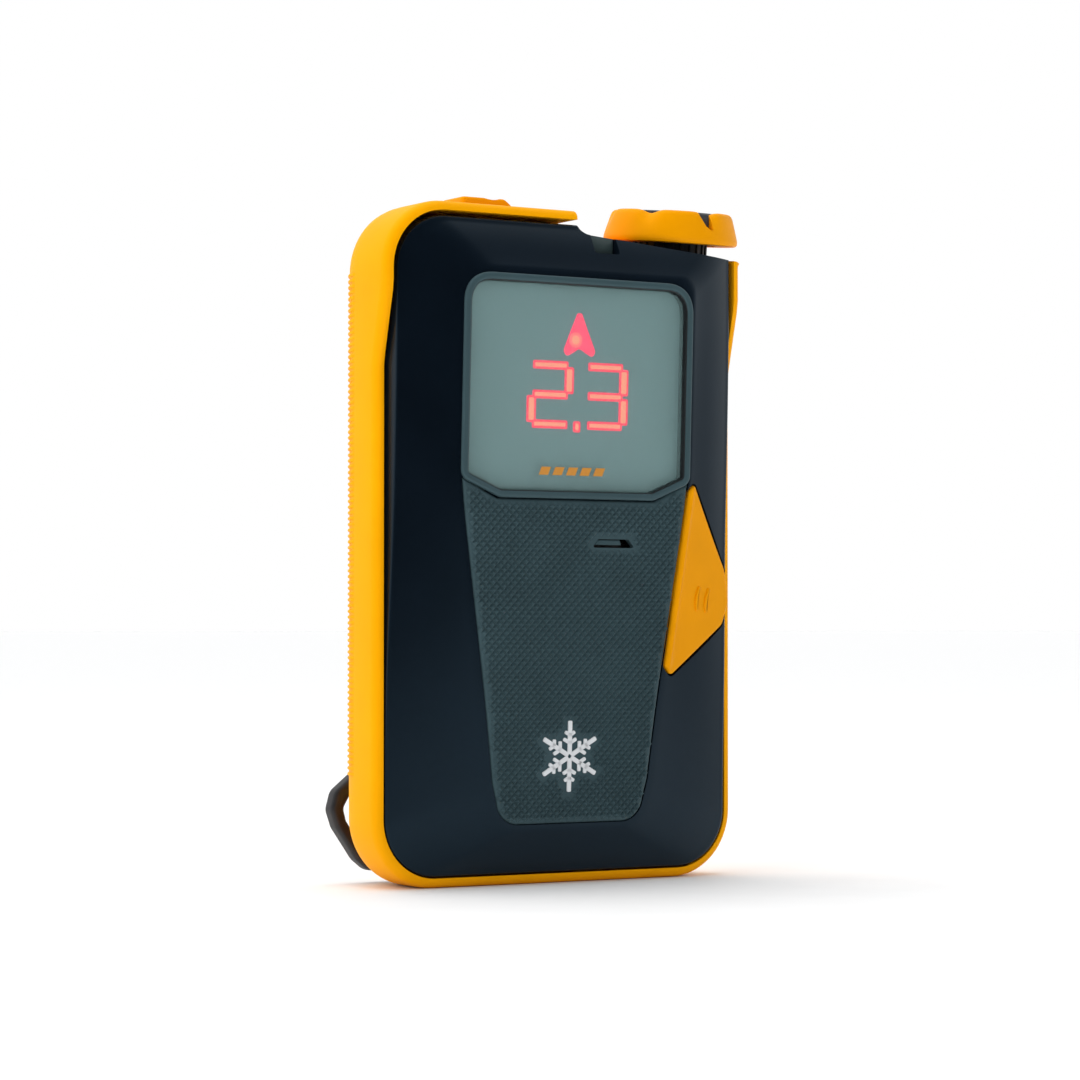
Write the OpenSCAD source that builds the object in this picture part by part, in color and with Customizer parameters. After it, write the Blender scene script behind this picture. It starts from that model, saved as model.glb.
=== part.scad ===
// Avalanche transceiver: a hand-held rescue beacon with a red distance display, a mode knob on its top
// right corner, a press trigger on its right flank and a battery door at the back.
// Millimetres. +Z is up, the display faces -Y, and the origin is the middle of the flat bottom,
// on the plane where the curved back begins to leave the straight sides.

/* [Body] */
// Width across the flat sides
body_w = 74; // [73:0.5:76]
// Height of the yellow shell
body_h = 118; // [117:0.5:119]
// Depth from the origin's plane to the flat back
back_d = 13.4; // [13:0.1:14]
// Radius of the shell's corners, seen from the front
corner_r = 12; // [11.5:0.5:12.5]
// Wall of the rear shell
shell_wall = 1.9; // [1.6:0.1:2.2]
// Wall of the front cover
cover_wall = 2.0; // [1.8:0.1:2.2]

/* [Front face] */
// Depth of the pad's plane below the display, measured at the bottom
face_d = 10.06; // [9.8:0.05:10.4]
// Lean of the pad's plane, forward at the top
face_tilt = 2.28; // [2:0.1:2.6]
// How far the pad stands above the cover
pad_proud = 0.6; // [0.4:0.1:0.8]
// Thickness of the grip pad
pad_t = 1.6; // [1.4:0.1:1.8]
// Depth of the lens below the bezel
lens_depth = 1.2; // [1.1:0.1:1.4]
// Thickness of the lens
lens_t = 1.2; // [1:0.1:1.4]
// Width of the bezel's rim
rim_w = 1.3; // [1.1:0.1:1.5]

/* [Mode knob] */
// Radius of the knob's skirt
knob_r = 12.2; // [11.8:0.1:12.4]
// Height of the knob above its skirt
knob_h = 5.8; // [5.4:0.1:6.2]
// Lean of the knob's axis towards the front
knob_lean = 6; // [5:0.5:7]
// Radius of the knob's shaft
shaft_r = 3; // [2.8:0.1:3.2]
// Radial clearance of the shaft in its collar
shaft_fit = 0.06; // [0.03:0.01:0.1]

/* [Trigger and button] */
// Radius of the trigger's hinge pin
pin_r = 0.75; // [0.6:0.05:0.8]
// Radial clearance of the trigger on its pin
pin_fit = 0.05; // [0.02:0.01:0.1]
// Gap between the trigger and its pocket
trigger_gap = 0.35; // [0.3:0.05:0.5]
// Height of the options button above the shell
button_up = 2.2; // [1.8:0.1:2.4]
// Travel of the options button
button_travel = 0.9; // [0.6:0.1:1]

/* [Batteries] */
// Radius of an AAA cell
cell_r = 5.2; // [5.1:0.05:5.25]
// Length of an AAA cell with its nub
cell_l = 44.5; // [44:0.1:44.6]
// Distance between the cells
cell_pitch = 11.2; // [11:0.1:11.4]

/* [Hidden] */

$fn = 48;
arc_steps = 8;
half_w = body_w / 2;

yellow = [0.97, 0.66, 0.02];
black = [0.07, 0.09, 0.11];
grey = [0.25, 0.31, 0.32];
steel = [0.75, 0.76, 0.78];
copper = [0.72, 0.40, 0.20];
ferrite = [0.16, 0.15, 0.15];

// Back: where the curve of each side and of the top and bottom starts, and how far it goes in.
side_curve_y = 0.2;
side_curve_in = 18;
end_curve_y = 7.4;
end_curve_in = 6;

// Front rim of the shell: its inner edge, and how far forward it stands low down and at the top.
rim_half = half_w - 1.5;
rim_deep = 1.85;
rim_low_y = -4.55;
rim_high_y = -7.85;
rim_step_z = [90, 103];

// Cover: size of its skirt, and the heights at which its face edge is given.
skirt_gap = 0.2;
skirt_y = -3.5;
skirt_front_y = -6.2;
cover_z0 = 2.0;
cover_z1 = 115.3;
cover_r = 9.8;
edge_depths = [[0, -6.5], [14, -6.8], [49, -7.8], [84, -9.3], [101, -9.7], [118, -9.7]];
edge_halves = [[32, 35.05], [67, 34.5]];

// Pad and display: half widths of the pad up its height, and the lens outline.
pad_halves = [[10.6, 15.2], [21, 16.4], [32, 17.8], [63, 22.5], [69.9, 23.4],
    [106, 23.6]];
pad_z0 = 10.6;
face_z1 = 105.9;
lens_half = 22.3;
lens_foot_half = 15.6;
lens_z0 = 68.4;
lens_side_z = 71.2;
lens_z1 = 104.4;
lens_r = 2.9;
slot = [[3.3, 58.7], [12.2, 58.7], [10.9, 60.2], [4.5, 60.2]];

// Shelf under the knob, and the knob's place on it.
knob_x = 28.5;
knob_y = 1;
shelf_z = 113.1;
shelf_t = 2;
shelf_start_x = 1.6;
skirt_z = 1.6;
collar_r = 6.5;
collar_top = 4.4;
shoulder_r = 13.1;
shoulder_h = 15.5;
shoulder_y = [-8.8, 12.2];

// Trigger: the place and turn of its hinge, and its outline in the hinge's own plane.
trigger_at = [22.38, -8.5, 53.21];
trigger_turn = [2.06, 8.13, 17.5];
trigger_front = -3;
trigger_back = -1.2;
trigger_points = [[-1.8, -15.6], [-1.2, -16.4], [0.2, -16.5], [7.0, -10.4], [11.6, -6.1],
    [12.5, -4.2], [12.7, -2.2], [12.3, 0.6], [11.0, 3.4], [5.3, 10.4], [-0.1, 16.3], [-1.0, 17.0],
    [-1.8, 16.2]];
knuckle_r = 1.25;
knuckle_z = [3, 9];
ear_z = [9.4, 11.4];

// Options button on the shell's top.
button_x = [-16.6, -5.9];
button_y = [-1.1, 6.5];
button_gap = 0.3;

// Battery door: its size, hinge axis and captive screw.
door_half = 20.4;
door_t = 1.8;
door_z1 = 66;
door_gap = 0.3;
ledge_y = back_d - 2.25;
hatch_z = [13.2, 58.2];
hinge_y = back_d - 1.6;
hinge_z = 10;
hinge_r = 1.6;
door_pin_r = 0.75;
screw_z = 62.6;
tray_half = 18.2;
tray_z = [8.6, 59.0];
tray_y0 = -0.9;
tray_wall = 1.2;
tray_inner_z = [9.8, 58.2];
contact_w = 7.4;
contact_t = 0.3;
cell_button = 1;
cell_button_r = 1.9;
cell_y = 5.75;
cell_z0 = 13.3;

// Case screws: two low down under the door and two near the top.
screw_places = [[-18, 5.2], [18, 5.2], [-27, 105], [15.5, 105]];
screw_head_r = 2.3;
screw_boss_r = 3.1;
screw_shank_r = 1.25;

// Circuit board and what stands on it.
board_y = [-3, -1.4];
board_half = 29;
board_z = [14, 103];
board_screws_at = [[-25.5, 20], [25.5, 20], [-25.5, 99], [25, 92]];

// Display module: half width and height range of the light box behind the lens.
module_half = 20.5;
module_z = [74.5, 100.1];

// Aerials: the long one up the left, the cross one under the top, the short one front to back.
long_at = [-26.8, 3.4, 19.5];
long_l = 76;
cross_at = [-19.5, 4.2, 92];
cross_l = 38;
short_at = [25, 74];
rod_r = 3.5;
winding_r = 4.1;
winding_bore = 3.55;

// Speaker behind the slot, and the switch under the options button.
speaker_at = [7.2, 53];
speaker_r = 8;
switch_at = [-11.2, 2.8];
switch_z = 106;
switch_w = 8;
switch_h = 3;

// ---- outlines and lofts ----

function arc(cx, cz, r, a0, a1, n = arc_steps) =
    [for (i = [0:n]) let (a = a0 + (a1 - a0) * i / n) [cx + r * cos(a), cz + r * sin(a)]];

// Share of the other corners' radius that the corner under the knob has.
knob_corner = 0.4;

// Rounded rectangle in X and Z, with points along its sides where the rim steps.
function rounded(half, z0, z1, r, side = []) = concat(
    arc(half - r, z0 + r, r, -90, 0),
    [for (z = side) [half, z]],
    arc(half - r * knob_corner, z1 - r * knob_corner, r * knob_corner, 0, 90),
    arc(-half + r, z1 - r, r, 90, 180),
    [for (i = [len(side) - 1:-1:0]) [-half, side[i]]],
    arc(-half + r, z0 + r, r, 180, 270));

side_points = [24, 32, 49, 67, 84, 90, 96.5, 99.5];

function flat_ring(outline, y) = [for (p = outline) [p[0], y, p[1]]];

// Closed solid through rings of equal length, the first at the front.
module loft(rings) {
    n = len(rings[0]);
    m = len(rings);
    points = [for (ring = rings) for (p = ring) p];
    sides = [for (k = [0:m - 2]) for (i = [0:n - 1])
        let (a = k * n + i, b = k * n + (i + 1) % n) each [[a, b, b + n], [a, b + n, a + n]]];
    front = [[for (i = [n - 1:-1:0]) i]];
    back = [[for (i = [0:n - 1]) (m - 1) * n + i]];
    polyhedron(points = points, faces = concat(front, sides, back), convexity = 6);
}

// Same, with the front closed by a fan to one point.
module domed_loft(rings, tip) {
    n = len(rings[0]);
    m = len(rings);
    points = concat([for (ring = rings) for (p = ring) p], [tip]);
    sides = [for (k = [0:m - 2]) for (i = [0:n - 1])
        let (a = k * n + i, b = k * n + (i + 1) % n) each [[a, b, b + n], [a, b + n, a + n]]];
    fan = [for (i = [0:n - 1]) [m * n, (i + 1) % n, i]];
    back = [[for (i = [0:n - 1]) (m - 1) * n + i]];
    polyhedron(points = points, faces = concat(fan, sides, back), convexity = 6);
}

// Helical wire of round section along Z.
module coil(mean_r, wire_r, z0, z1, turns, sides = 6, steps = 12) {
    n = turns * steps;
    rings = [for (i = [0:n]) let (a = 360 * i / steps, z = z0 + wire_r + (z1 - z0 - 2 * wire_r) * i / n)
        [for (k = [0:sides - 1]) let (b = 360 * k / sides, r = mean_r + wire_r * cos(b))
            [r * cos(a), r * sin(a), z + wire_r * sin(b)]]];
    loft(rings);
}

// ---- frames ----

// X across, Y up the leaning front face, Z out of it; zero depth is the pad's plane.
module face_frame() {
    translate([0, -face_d, 0])
        rotate([90 + face_tilt, 0, 0])
            children();
}

// Z along the knob's axis, zero on the shelf.
module knob_frame() {
    translate([knob_x, knob_y, shelf_z])
        rotate([knob_lean, 0, 0])
            children();
}

// Z along the trigger's hinge, -Y out of its face.
module trigger_frame() {
    translate(trigger_at)
        rotate([trigger_turn[0], 0, 0])
            rotate([0, trigger_turn[1], 0])
                rotate([0, 0, trigger_turn[2]])
                    children();
}

// Cylinder along +Y from y0 to y1.
module y_cylinder(x, z, r, y0, y1) {
    translate([x, y0, z])
        rotate([-90, 0, 0])
            cylinder(r = r, h = y1 - y0);
}

// ---- rear shell ----

function rim_y(z) = lookup(z, [[rim_step_z[0], rim_low_y], [rim_step_z[1], rim_high_y]]);

function side_in(y) = y < side_curve_y ? 0
    : side_curve_in * (1 - sqrt(max(0, 1 - pow((y - side_curve_y) / (back_d - side_curve_y), 2))));

function end_in(y) = y < end_curve_y ? 0
    : end_curve_in * (1 - sqrt(max(0, 1 - pow((y - end_curve_y) / (back_d - end_curve_y), 2))));

back_steps = [0.2, 3.4, 6, 8.2, 10, 11.4, 12.5, 13.15, 1];

function back_y(k) = k == len(back_steps) - 1 ? back_d : back_steps[k] * back_d / 13.4;

function body_outline(inset, y) = rounded(half_w - inset - side_in(y), inset + end_in(y),
    body_h - inset - end_in(y), corner_r - inset, side_points);

function rim_ring(a) = [for (p = rounded(rim_half + 1.5 * sin(a), 1.5 - 1.5 * sin(a),
    body_h - 1.5 + 1.5 * sin(a), corner_r - 1.5 + 1.5 * sin(a), side_points))
    [p[0], rim_y(p[1]) - rim_deep * cos(a), p[1]]];

module body_solid() {
    loft(concat([for (a = [0:30:90]) rim_ring(a)],
        [for (k = [0:len(back_steps) - 1]) flat_ring(body_outline(0, back_y(k)), back_y(k))]));
}

module body_cavity() {
    inner_back = back_d - shell_wall;
    depths = [-12, 0.2, 4, 7, 9.2, 10.6, inner_back];
    loft([for (y = depths) flat_ring(body_outline(shell_wall - 0.1, min(y + 0.6, back_d - 0.4)), y)]);
}

// The corner under the knob flares past the side as a cone about the knob's axis.
module shoulder() {
    intersection() {
        knob_frame()
            translate([0, 0, -shoulder_h])
                cylinder(r1 = half_w - knob_x - 0.6, r2 = shoulder_r, h = shoulder_h + 0.5, $fn = 64);
        translate([knob_x - 2, shoulder_y[0], 90])
            cube([20, shoulder_y[1] - shoulder_y[0], 30]);
    }
}

// Everything above the shelf, right of the step.
module above_shelf() {
    translate([shelf_start_x + 2.4, 0, 0])
        knob_plane()
            translate([0, -40, 0])
                cube([60, 80, 20]);
    translate([shelf_start_x + 2.4, -40, shelf_z + 2.2])
        rotate([-90, 0, 0])
            cylinder(r = 2.3, h = 80);
    translate([shelf_start_x + 0.1, -40, shelf_z + 2.2])
        cube([10, 80, 20]);
}

module knob_plane() {
    translate([0, knob_y, shelf_z])
        rotate([knob_lean, 0, 0])
            children();
}

// Solid under the shelf, so that it stays closed.
module shelf_block(x0) {
    knob_plane()
        translate([x0, -40, -shelf_t])
            cube([60, 80, 20]);
}

scoop_at = [-29.6, 9.6, 9.4];
scoop_r = 6.4;

// Hollow that a cord needs behind the leash loop, at the bottom left corner.
module loop_scoop(grow) {
    translate(scoop_at)
        sphere(r = scoop_r + grow, $fn = 40);
}

module door_opening() {
    translate([-door_half - door_gap, ledge_y, hinge_z])
        cube([2 * (door_half + door_gap), 6, door_z1 + door_gap - hinge_z]);
    translate([-door_half - door_gap, hinge_y, hinge_z])
        rotate([0, 90, 0])
            cylinder(r = hinge_r + door_gap, h = 2 * (door_half + door_gap));
    // Room under the hinge for the door's edge as it swings right back.
    translate([-door_half - door_gap, hinge_y, hinge_z - 2.2])
        cube([2 * (door_half + door_gap), 6, 2.3]);
}

module screw_boss(at, y0, y1, r) {
    y_cylinder(at[0], at[1], r, y0, y1);
}

module rear_shell() {
    color(yellow)
        difference() {
            union() {
                body_solid();
                shoulder();
            }
            difference() {
                body_cavity();
                intersection() {
                    shelf_block(shelf_start_x - 1.5);
                    translate([-50, skirt_y + 0.2, 0])
                        cube([100, 60, 130]);
                }
                loop_scoop(1.6);
                y_cylinder(0, screw_z, 3.5, 5.4, back_d);
                for (at = screw_places)
                    screw_boss(at, -2.3, back_d, screw_boss_r);
                translate([-tray_half - 2.6, hinge_y - 1.9, hinge_z - 3.6])
                    cube([2 * tray_half + 5.2, 5, door_z1 - hinge_z + 6]);
            }
            above_shelf();
            loop_scoop(0);
            door_opening();
            translate([-tray_half + 1.2, -2, hatch_z[0]])
                cube([2 * tray_half - 2.4, 30, hatch_z[1] - hatch_z[0]]);
            y_cylinder(0, screw_z, 2.4, 6.1, 20);
            translate([-door_half - 2.4, hinge_y, hinge_z])
                rotate([0, 90, 0])
                    cylinder(r = door_pin_r + 0.02, h = 2 * door_half + 4.8);
            knob_frame()
                translate([0, 0, -12])
                    cylinder(r = shaft_r + 0.3, h = 20);
            for (at = screw_places) {
                y_cylinder(at[0], at[1], screw_shank_r + 0.2, -10, 20);
                y_cylinder(at[0], at[1], screw_head_r + 0.2, 8.6, 20);
            }
            translate([button_x[0] - button_gap, button_y[0] - button_gap, body_h - 6])
                cube([button_x[1] - button_x[0] + 2 * button_gap,
                    button_y[1] - button_y[0] + 2 * button_gap, 12]);
            trigger_frame()
                trigger_pocket();
        }
}

// ---- front cover ----

function edge_y(z) = lookup(z, edge_depths);
function edge_half(z) = lookup(z, edge_halves);
function pad_half(z) = lookup(z, pad_halves);
function plate_y(z) = -face_d - tan(face_tilt) * z;

function cover_outline(inset) = rounded(half_w - shell_wall - skirt_gap - inset, cover_z0 + inset,
    cover_z1 + 0.5 - inset, cover_r, side_points);

// Point of the face edge, where the cover's flank meets its side.
function edge_point(p, inset) =
    let (k = (edge_half(p[1]) - inset) / (half_w - shell_wall - skirt_gap - inset))
    [p[0] * k, p[1]];

function plateau_point(p, inset) =
    let (v = (p[1] - cover_z0) / (cover_z1 - cover_z0),
        z = pad_z0 - 1 + v * (face_z1 + 1.6 - pad_z0),
        k = pad_half(z) / (half_w - shell_wall - skirt_gap - inset))
    [p[0] * k, z];

function cover_ring(inset, t) = [for (p = cover_outline(inset))
    let (a = edge_point(p, inset), b = plateau_point(p, inset),
        ya = edge_y(a[1]) + inset, yb = plate_y(b[1]) + pad_proud + inset)
    [a[0] + (b[0] - a[0]) * t, ya + (yb - ya) * t, a[1] + (b[1] - a[1]) * t]];

module cover_solid(inset, back) {
    tip_z = (pad_z0 + face_z1) / 2;
    domed_loft([cover_ring(inset, 1), cover_ring(inset, 0.5), cover_ring(inset, 0),
        flat_ring(cover_outline(inset), skirt_front_y + inset),
        flat_ring(cover_outline(inset), back)],
        [0, plate_y(tip_z) + pad_proud + inset, tip_z]);
}

function bevelled_lens(grow) = let (g = grow) concat(
    [[-lens_foot_half - 0.4 * g, lens_z0 - g], [lens_foot_half + 0.4 * g, lens_z0 - g],
        [lens_half + g, lens_side_z - 0.4 * g]],
    arc(lens_half - lens_r, lens_z1 - lens_r, lens_r + g, 0, 90),
    arc(-lens_half + lens_r, lens_z1 - lens_r, lens_r + g, 90, 180),
    [[-lens_half - g, lens_side_z - 0.4 * g]]);

pad_foot_r = 4.5;

function pad_outline(grow) = concat(
    arc(pad_halves[0][1] + grow - pad_foot_r, pad_z0 + pad_foot_r - grow, pad_foot_r, -90, -6),
    [for (i = [1:4]) [pad_halves[i][1] + grow, pad_halves[i][0]]],
    [for (i = [4:-1:1]) [-pad_halves[i][1] - grow, pad_halves[i][0]]],
    arc(-pad_halves[0][1] - grow + pad_foot_r, pad_z0 + pad_foot_r - grow, pad_foot_r, 186, 270));

module in_face(z0, z1) {
    face_frame()
        translate([0, 0, z0])
            linear_extrude(z1 - z0)
                children();
}

module trigger_outline(grow) {
    centre = [4.2, 0];
    polygon([for (p = trigger_points)
        let (d = p - centre, k = 1 + grow / norm([d[0] * 0.9, d[1] * 0.42]))
        centre + d * k]);
}

module trigger_slab(grow, y0, y1) {
    translate([0, y1, 0])
        rotate([90, 0, 0])
            linear_extrude(y1 - y0)
                trigger_outline(grow);
}

module trigger_pocket() {
    trigger_slab(trigger_gap, -9, 1.0);
    translate([-2.1, 0.5, -ear_z[1]])
        cube([4.0, 1.3, 2 * ear_z[1]]);
}

module trigger_ears() {
    for (side = [-1, 1])
        translate([-1.4, -0.8, side > 0 ? ear_z[0] : -ear_z[1]])
            cube([2.8, 3, ear_z[1] - ear_z[0]]);
}

// Hollow behind the face, less the bosses, the shelf and the trigger's bed that stand in it.
module cover_hollow() {
    difference() {
        cover_solid(cover_wall, skirt_y + 1);
        shelf_block(shelf_start_x - 1.5);
        for (at = screw_places)
            screw_boss(at, -20, -2.4, 2.9);
        for (at = board_screws_at)
            screw_boss(at, -20, board_y[0], 2.2);
        trigger_frame()
            trigger_slab(1.5, -9, 2.9);
    }
}

module front_cover() {
    color(black)
        difference() {
            union() {
                difference() {
                    cover_solid(0, skirt_y);
                    cover_hollow();
                    trigger_frame()
                        trigger_pocket();
                }
                trigger_frame()
                    trigger_ears();
            }
            trigger_frame()
                cylinder(r = pin_r + 0.02, h = 24, center = true);
            above_shelf();
            in_face(-pad_t, 5)
                polygon(pad_outline(0.05));
            in_face(-12, 5)
                polygon(bevelled_lens(rim_w + 0.05));
            in_face(-12, 5)
                polygon(slot);
            translate([3.9, -20, 110.3])
                cube([5.3, 13, 10]);
            for (at = screw_places)
                y_cylinder(at[0], at[1], screw_shank_r + 0.05, -7.4, 0);
            for (at = board_screws_at)
                y_cylinder(at[0], at[1], 0.85, -7, 0);
        }
}

module grip_pad() {
    color(grey)
        difference() {
            in_face(-pad_t, 0)
                polygon(pad_outline(0));
            in_face(-4, 2)
                polygon(bevelled_lens(rim_w + 0.05));
            in_face(-4, 2)
                polygon(slot);
            trigger_frame()
                trigger_slab(trigger_gap, -9, 1.0);
        }
}

module display_bezel() {
    color(grey)
        difference() {
            in_face(-lens_depth - lens_t - 0.8, 0)
                polygon(bevelled_lens(rim_w));
            in_face(-lens_depth - lens_t, 2)
                polygon(bevelled_lens(0.05));
            in_face(-9, 2)
                polygon(bevelled_lens(-1.2));
        }
}

module display_lens() {
    color([0.4, 0.48, 0.5, 0.6])
        in_face(-lens_depth - lens_t, -lens_depth)
            polygon(bevelled_lens(0));
}

module status_window() {
    color([0.32, 0.37, 0.38])
        difference() {
            translate([4, -9.9, 110.4])
                cube([5.1, 2.2, 6]);
            above_shelf();
        }
}

module case_gasket() {
    color([0.1, 0.1, 0.1])
        difference() {
            loft([flat_ring(cover_outline(0.1), skirt_y + 0.02),
                flat_ring(cover_outline(0.1), skirt_y + 1)]);
            loft([flat_ring(cover_outline(1.5), skirt_y - 1),
                flat_ring(cover_outline(1.5), skirt_y + 2)]);
            shelf_block(shelf_start_x - 1.6);
        }
}

module case_screws() {
    color(steel)
        for (at = screw_places)
            difference() {
                union() {
                    y_cylinder(at[0], at[1], screw_shank_r, -7, 9);
                    y_cylinder(at[0], at[1], screw_head_r, 8.7, 10.5);
                }
                translate([at[0], 9.3, at[1]])
                    rotate([-90, 0, 0])
                        cylinder(r = 1.2, h = 2, $fn = 6);
            }
}

// ---- leash loop ----

loop_outer = [[-27.0, 21.4], [-31.6, 19.2], [-35.3, 16.0], [-36.2, 13.0], [-35.3, 10.2], [-31.2, 4.2],
    [-28.8, 2.3], [-22.5, 1.7]];
loop_inner = [[-22.5, 4.7], [-28.0, 5.1], [-30.5, 7.2], [-33.1, 11.0], [-33.6, 13.2], [-32.4, 15.4],
    [-27.0, 18.5]];
loop_t = 3.2;

module leash_loop() {
    color(black)
        difference() {
            translate([0, back_d, 0])
                rotate([90, 0, 0])
                    linear_extrude(loop_t)
                        polygon(concat(loop_outer, loop_inner));
            body_solid();
        }
}

// ---- battery door ----

module battery_door() {
    color([0.12, 0.13, 0.14])
        difference() {
            union() {
                translate([-door_half, back_d - door_t, hinge_z])
                    cube([2 * door_half, door_t, door_z1 - hinge_z]);
                translate([-door_half, hinge_y, hinge_z])
                    rotate([0, 90, 0])
                        cylinder(r = hinge_r, h = 2 * door_half);
            }
            translate([-door_half - 1, hinge_y, hinge_z])
                rotate([0, 90, 0])
                    cylinder(r = door_pin_r + 0.06, h = 2 * door_half + 2);
            y_cylinder(0, screw_z, 1.35, 5, 20);
            y_cylinder(0, screw_z, 2.75, back_d - 1.1, 20);
            y_cylinder(0, 52, 9, back_d - 0.5, 20);
        }
}

module door_gasket() {
    color([0.2, 0.2, 0.2])
        difference() {
            translate([-door_half + 1.2, hinge_y - 0.6, hatch_z[0] - 1.3])
                cube([2 * door_half - 2.4, 0.38, hatch_z[1] - hatch_z[0] + 3.1]);
            translate([-door_half + 2.5, hinge_y - 2, hatch_z[0] - 0.1])
                cube([2 * door_half - 5, 4, hatch_z[1] - hatch_z[0] + 0.6]);
        }
}

module door_hinge_pin() {
    color(steel)
        translate([-door_half - 2.2, hinge_y, hinge_z])
            rotate([0, 90, 0])
                cylinder(r = door_pin_r, h = 2 * door_half + 4.4);
}

module door_screw() {
    color(steel)
        difference() {
            union() {
                y_cylinder(0, screw_z, 2.65, back_d - 1.0, back_d);
                y_cylinder(0, screw_z, 1.25, 8.6, back_d - 0.5);
            }
            translate([-2, back_d - 0.6, screw_z - 0.35])
                cube([4, 2, 0.7]);
        }
}

module door_insert() {
    color([0.8, 0.65, 0.3])
        difference() {
            y_cylinder(0, screw_z, 2.35, 6.2, 10.6);
            y_cylinder(0, screw_z, 1.65, 7.2, 12);
        }
}

module battery_tray() {
    color([0.15, 0.16, 0.17])
        difference() {
            translate([-tray_half, tray_y0, tray_z[0]])
                cube([2 * tray_half, 10.8, tray_z[1] - tray_z[0]]);
            translate([-tray_half + tray_wall, tray_y0 + tray_wall, tray_inner_z[0]])
                cube([2 * (tray_half - tray_wall), 14, tray_inner_z[1] - tray_inner_z[0]]);
        }
}

// One cell, its button at the top.
module cell(x) {
    translate([x, cell_y, cell_z0]) {
        cylinder(r = cell_r, h = cell_l - cell_button);
        cylinder(r = cell_button_r, h = cell_l);
    }
}

module battery_1() {
    color([0.75, 0.55, 0.25])
        cell(-cell_pitch);
}

module battery_2() {
    color([0.75, 0.55, 0.25])
        cell(0);
}

module battery_3() {
    color([0.75, 0.55, 0.25])
        cell(cell_pitch);
}

module contact_plate(x, z) {
    translate([x - contact_w / 2, cell_y - contact_w / 2, z])
        cube([contact_w, contact_w, contact_t]);
}

module spring_contacts() {
    color(steel)
        for (x = [-cell_pitch, 0, cell_pitch]) {
            translate([x, cell_y, 0])
                coil(2.6, 0.3, tray_inner_z[0] + 0.1, cell_z0 - 0.05, 2);
            contact_plate(x, tray_inner_z[0]);
        }
}

module flat_contacts() {
    color(steel)
        for (x = [-cell_pitch, 0, cell_pitch])
            contact_plate(x, tray_inner_z[1] - contact_t);
}

// ---- mode knob ----

module mode_knob() {
    top = skirt_z + knob_h;
    color(yellow)
        knob_frame()
            difference() {
                rotate_extrude($fn = 72)
                    polygon([[shaft_r + 0.02, 5.4], [collar_r + 0.4, 5.4], [collar_r + 0.4, skirt_z + 0.6],
                        [collar_r + 0.9, skirt_z], [knob_r - 0.5, skirt_z], [knob_r, skirt_z + 0.5],
                        [knob_r, skirt_z + 1.2], [knob_r - 1.1, top - 0.9], [knob_r - 1.9, top],
                        [9.4, top], [9.4, 6.6], [shaft_r + 0.02, 6.6]]);
                for (i = [0:5])
                    rotate([0, 0, 60 * i - 100])
                        translate([knob_r - 1, 0, top + 3.4])
                            rotate([0, 90, 0])
                                cylinder(r = 4.4, h = 8, center = true);
            }
}

module knob_insert() {
    top = skirt_z + knob_h;
    color(grey)
        knob_frame()
            difference() {
                rotate_extrude($fn = 72)
                    polygon([[0, 7.3], [5, 7.3], [5, 7.2], [9.3, 7.2], [9.3, 6.65], [0, 6.65]]);
                translate([-0.6, -9, 7.0])
                    cube([1.2, 5, 2]);
            }
}

module knob_shaft() {
    color(steel)
        knob_frame()
            rotate_extrude()
                polygon([[0, -7.4], [shaft_r, -7.4], [shaft_r, -3.3], [shaft_r - 0.6, -3.3],
                    [shaft_r - 0.6, -2.4], [shaft_r, -2.4], [shaft_r, 6.6], [0, 6.6]]);
}

module knob_clip() {
    color(steel)
        knob_frame()
            translate([0, 0, -3.25])
                difference() {
                    cylinder(r = 4.2, h = 0.8);
                    translate([0, 0, -1])
                        cylinder(r = shaft_r - 0.55, h = 3);
                    translate([0, -1.6, -1])
                        cube([8, 3.2, 3]);
                }
}

module knob_magnet() {
    color([0.5, 0.5, 0.52])
        knob_frame()
            translate([0, 0, -9.4])
                cylinder(r = 2.6, h = 2);
}

module knob_collar() {
    color(black)
        knob_frame()
            difference() {
                union() {
                    cylinder(r = collar_r, h = collar_top);
                    for (a = [0:30:330])
                        rotate([0, 0, a])
                            translate([collar_r - 0.4, -0.3, 0])
                                cube([0.65, 0.6, collar_top]);
                }
                translate([0, 0, -2])
                    cylinder(r = shaft_r + shaft_fit, h = 10);
                translate([0, 0, 1])
                    cylinder(r = 4.7, h = 1.8);
            }
}

module knob_oring() {
    color([0.1, 0.1, 0.1])
        knob_frame()
            translate([0, 0, 1.9])
                rotate_extrude()
                    translate([shaft_r + shaft_fit + 0.8, 0])
                        circle(r = 0.76, $fn = 24);
}

// ---- trigger ----

module search_trigger() {
    color(yellow)
        trigger_frame()
            difference() {
                union() {
                    trigger_slab(0, trigger_front, trigger_back);
                    for (side = [-1, 1])
                        translate([0, 0, side > 0 ? knuckle_z[0] : -knuckle_z[1]])
                            cylinder(r = knuckle_r, h = knuckle_z[1] - knuckle_z[0]);
                    translate([7, -0.4, -1])
                        rotate([90, 0, 0])
                            cylinder(r = 1.9, h = 1.5);
                    for (x = [4.2, 6.9])
                        translate([x, trigger_front + 0.3, -2.6])
                            rotate([90, 0, 0])
                                intersection() {
                                    difference() {
                                        translate([-4, 0, 0])
                                            cylinder(r = 4.5, h = 0.55);
                                        translate([-4, 0, -1])
                                            cylinder(r = 3.8, h = 3);
                                    }
                                    translate([-1, -1.8, -1])
                                        cube([4, 3.6, 3]);
                                }
                }
                cylinder(r = pin_r + pin_fit, h = 24, center = true);
                translate([7, 0, -1])
                    rotate([90, 0, 0])
                        cylinder(r = 1.25, h = 1.5);
                rotate([0, 0, -19])
                    translate([14.6, -6.5, -20])
                        cube([6, 16, 40]);
            }
}

module trigger_pin() {
    color(steel)
        trigger_frame()
            cylinder(r = pin_r, h = 22.4, center = true);
}

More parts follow.
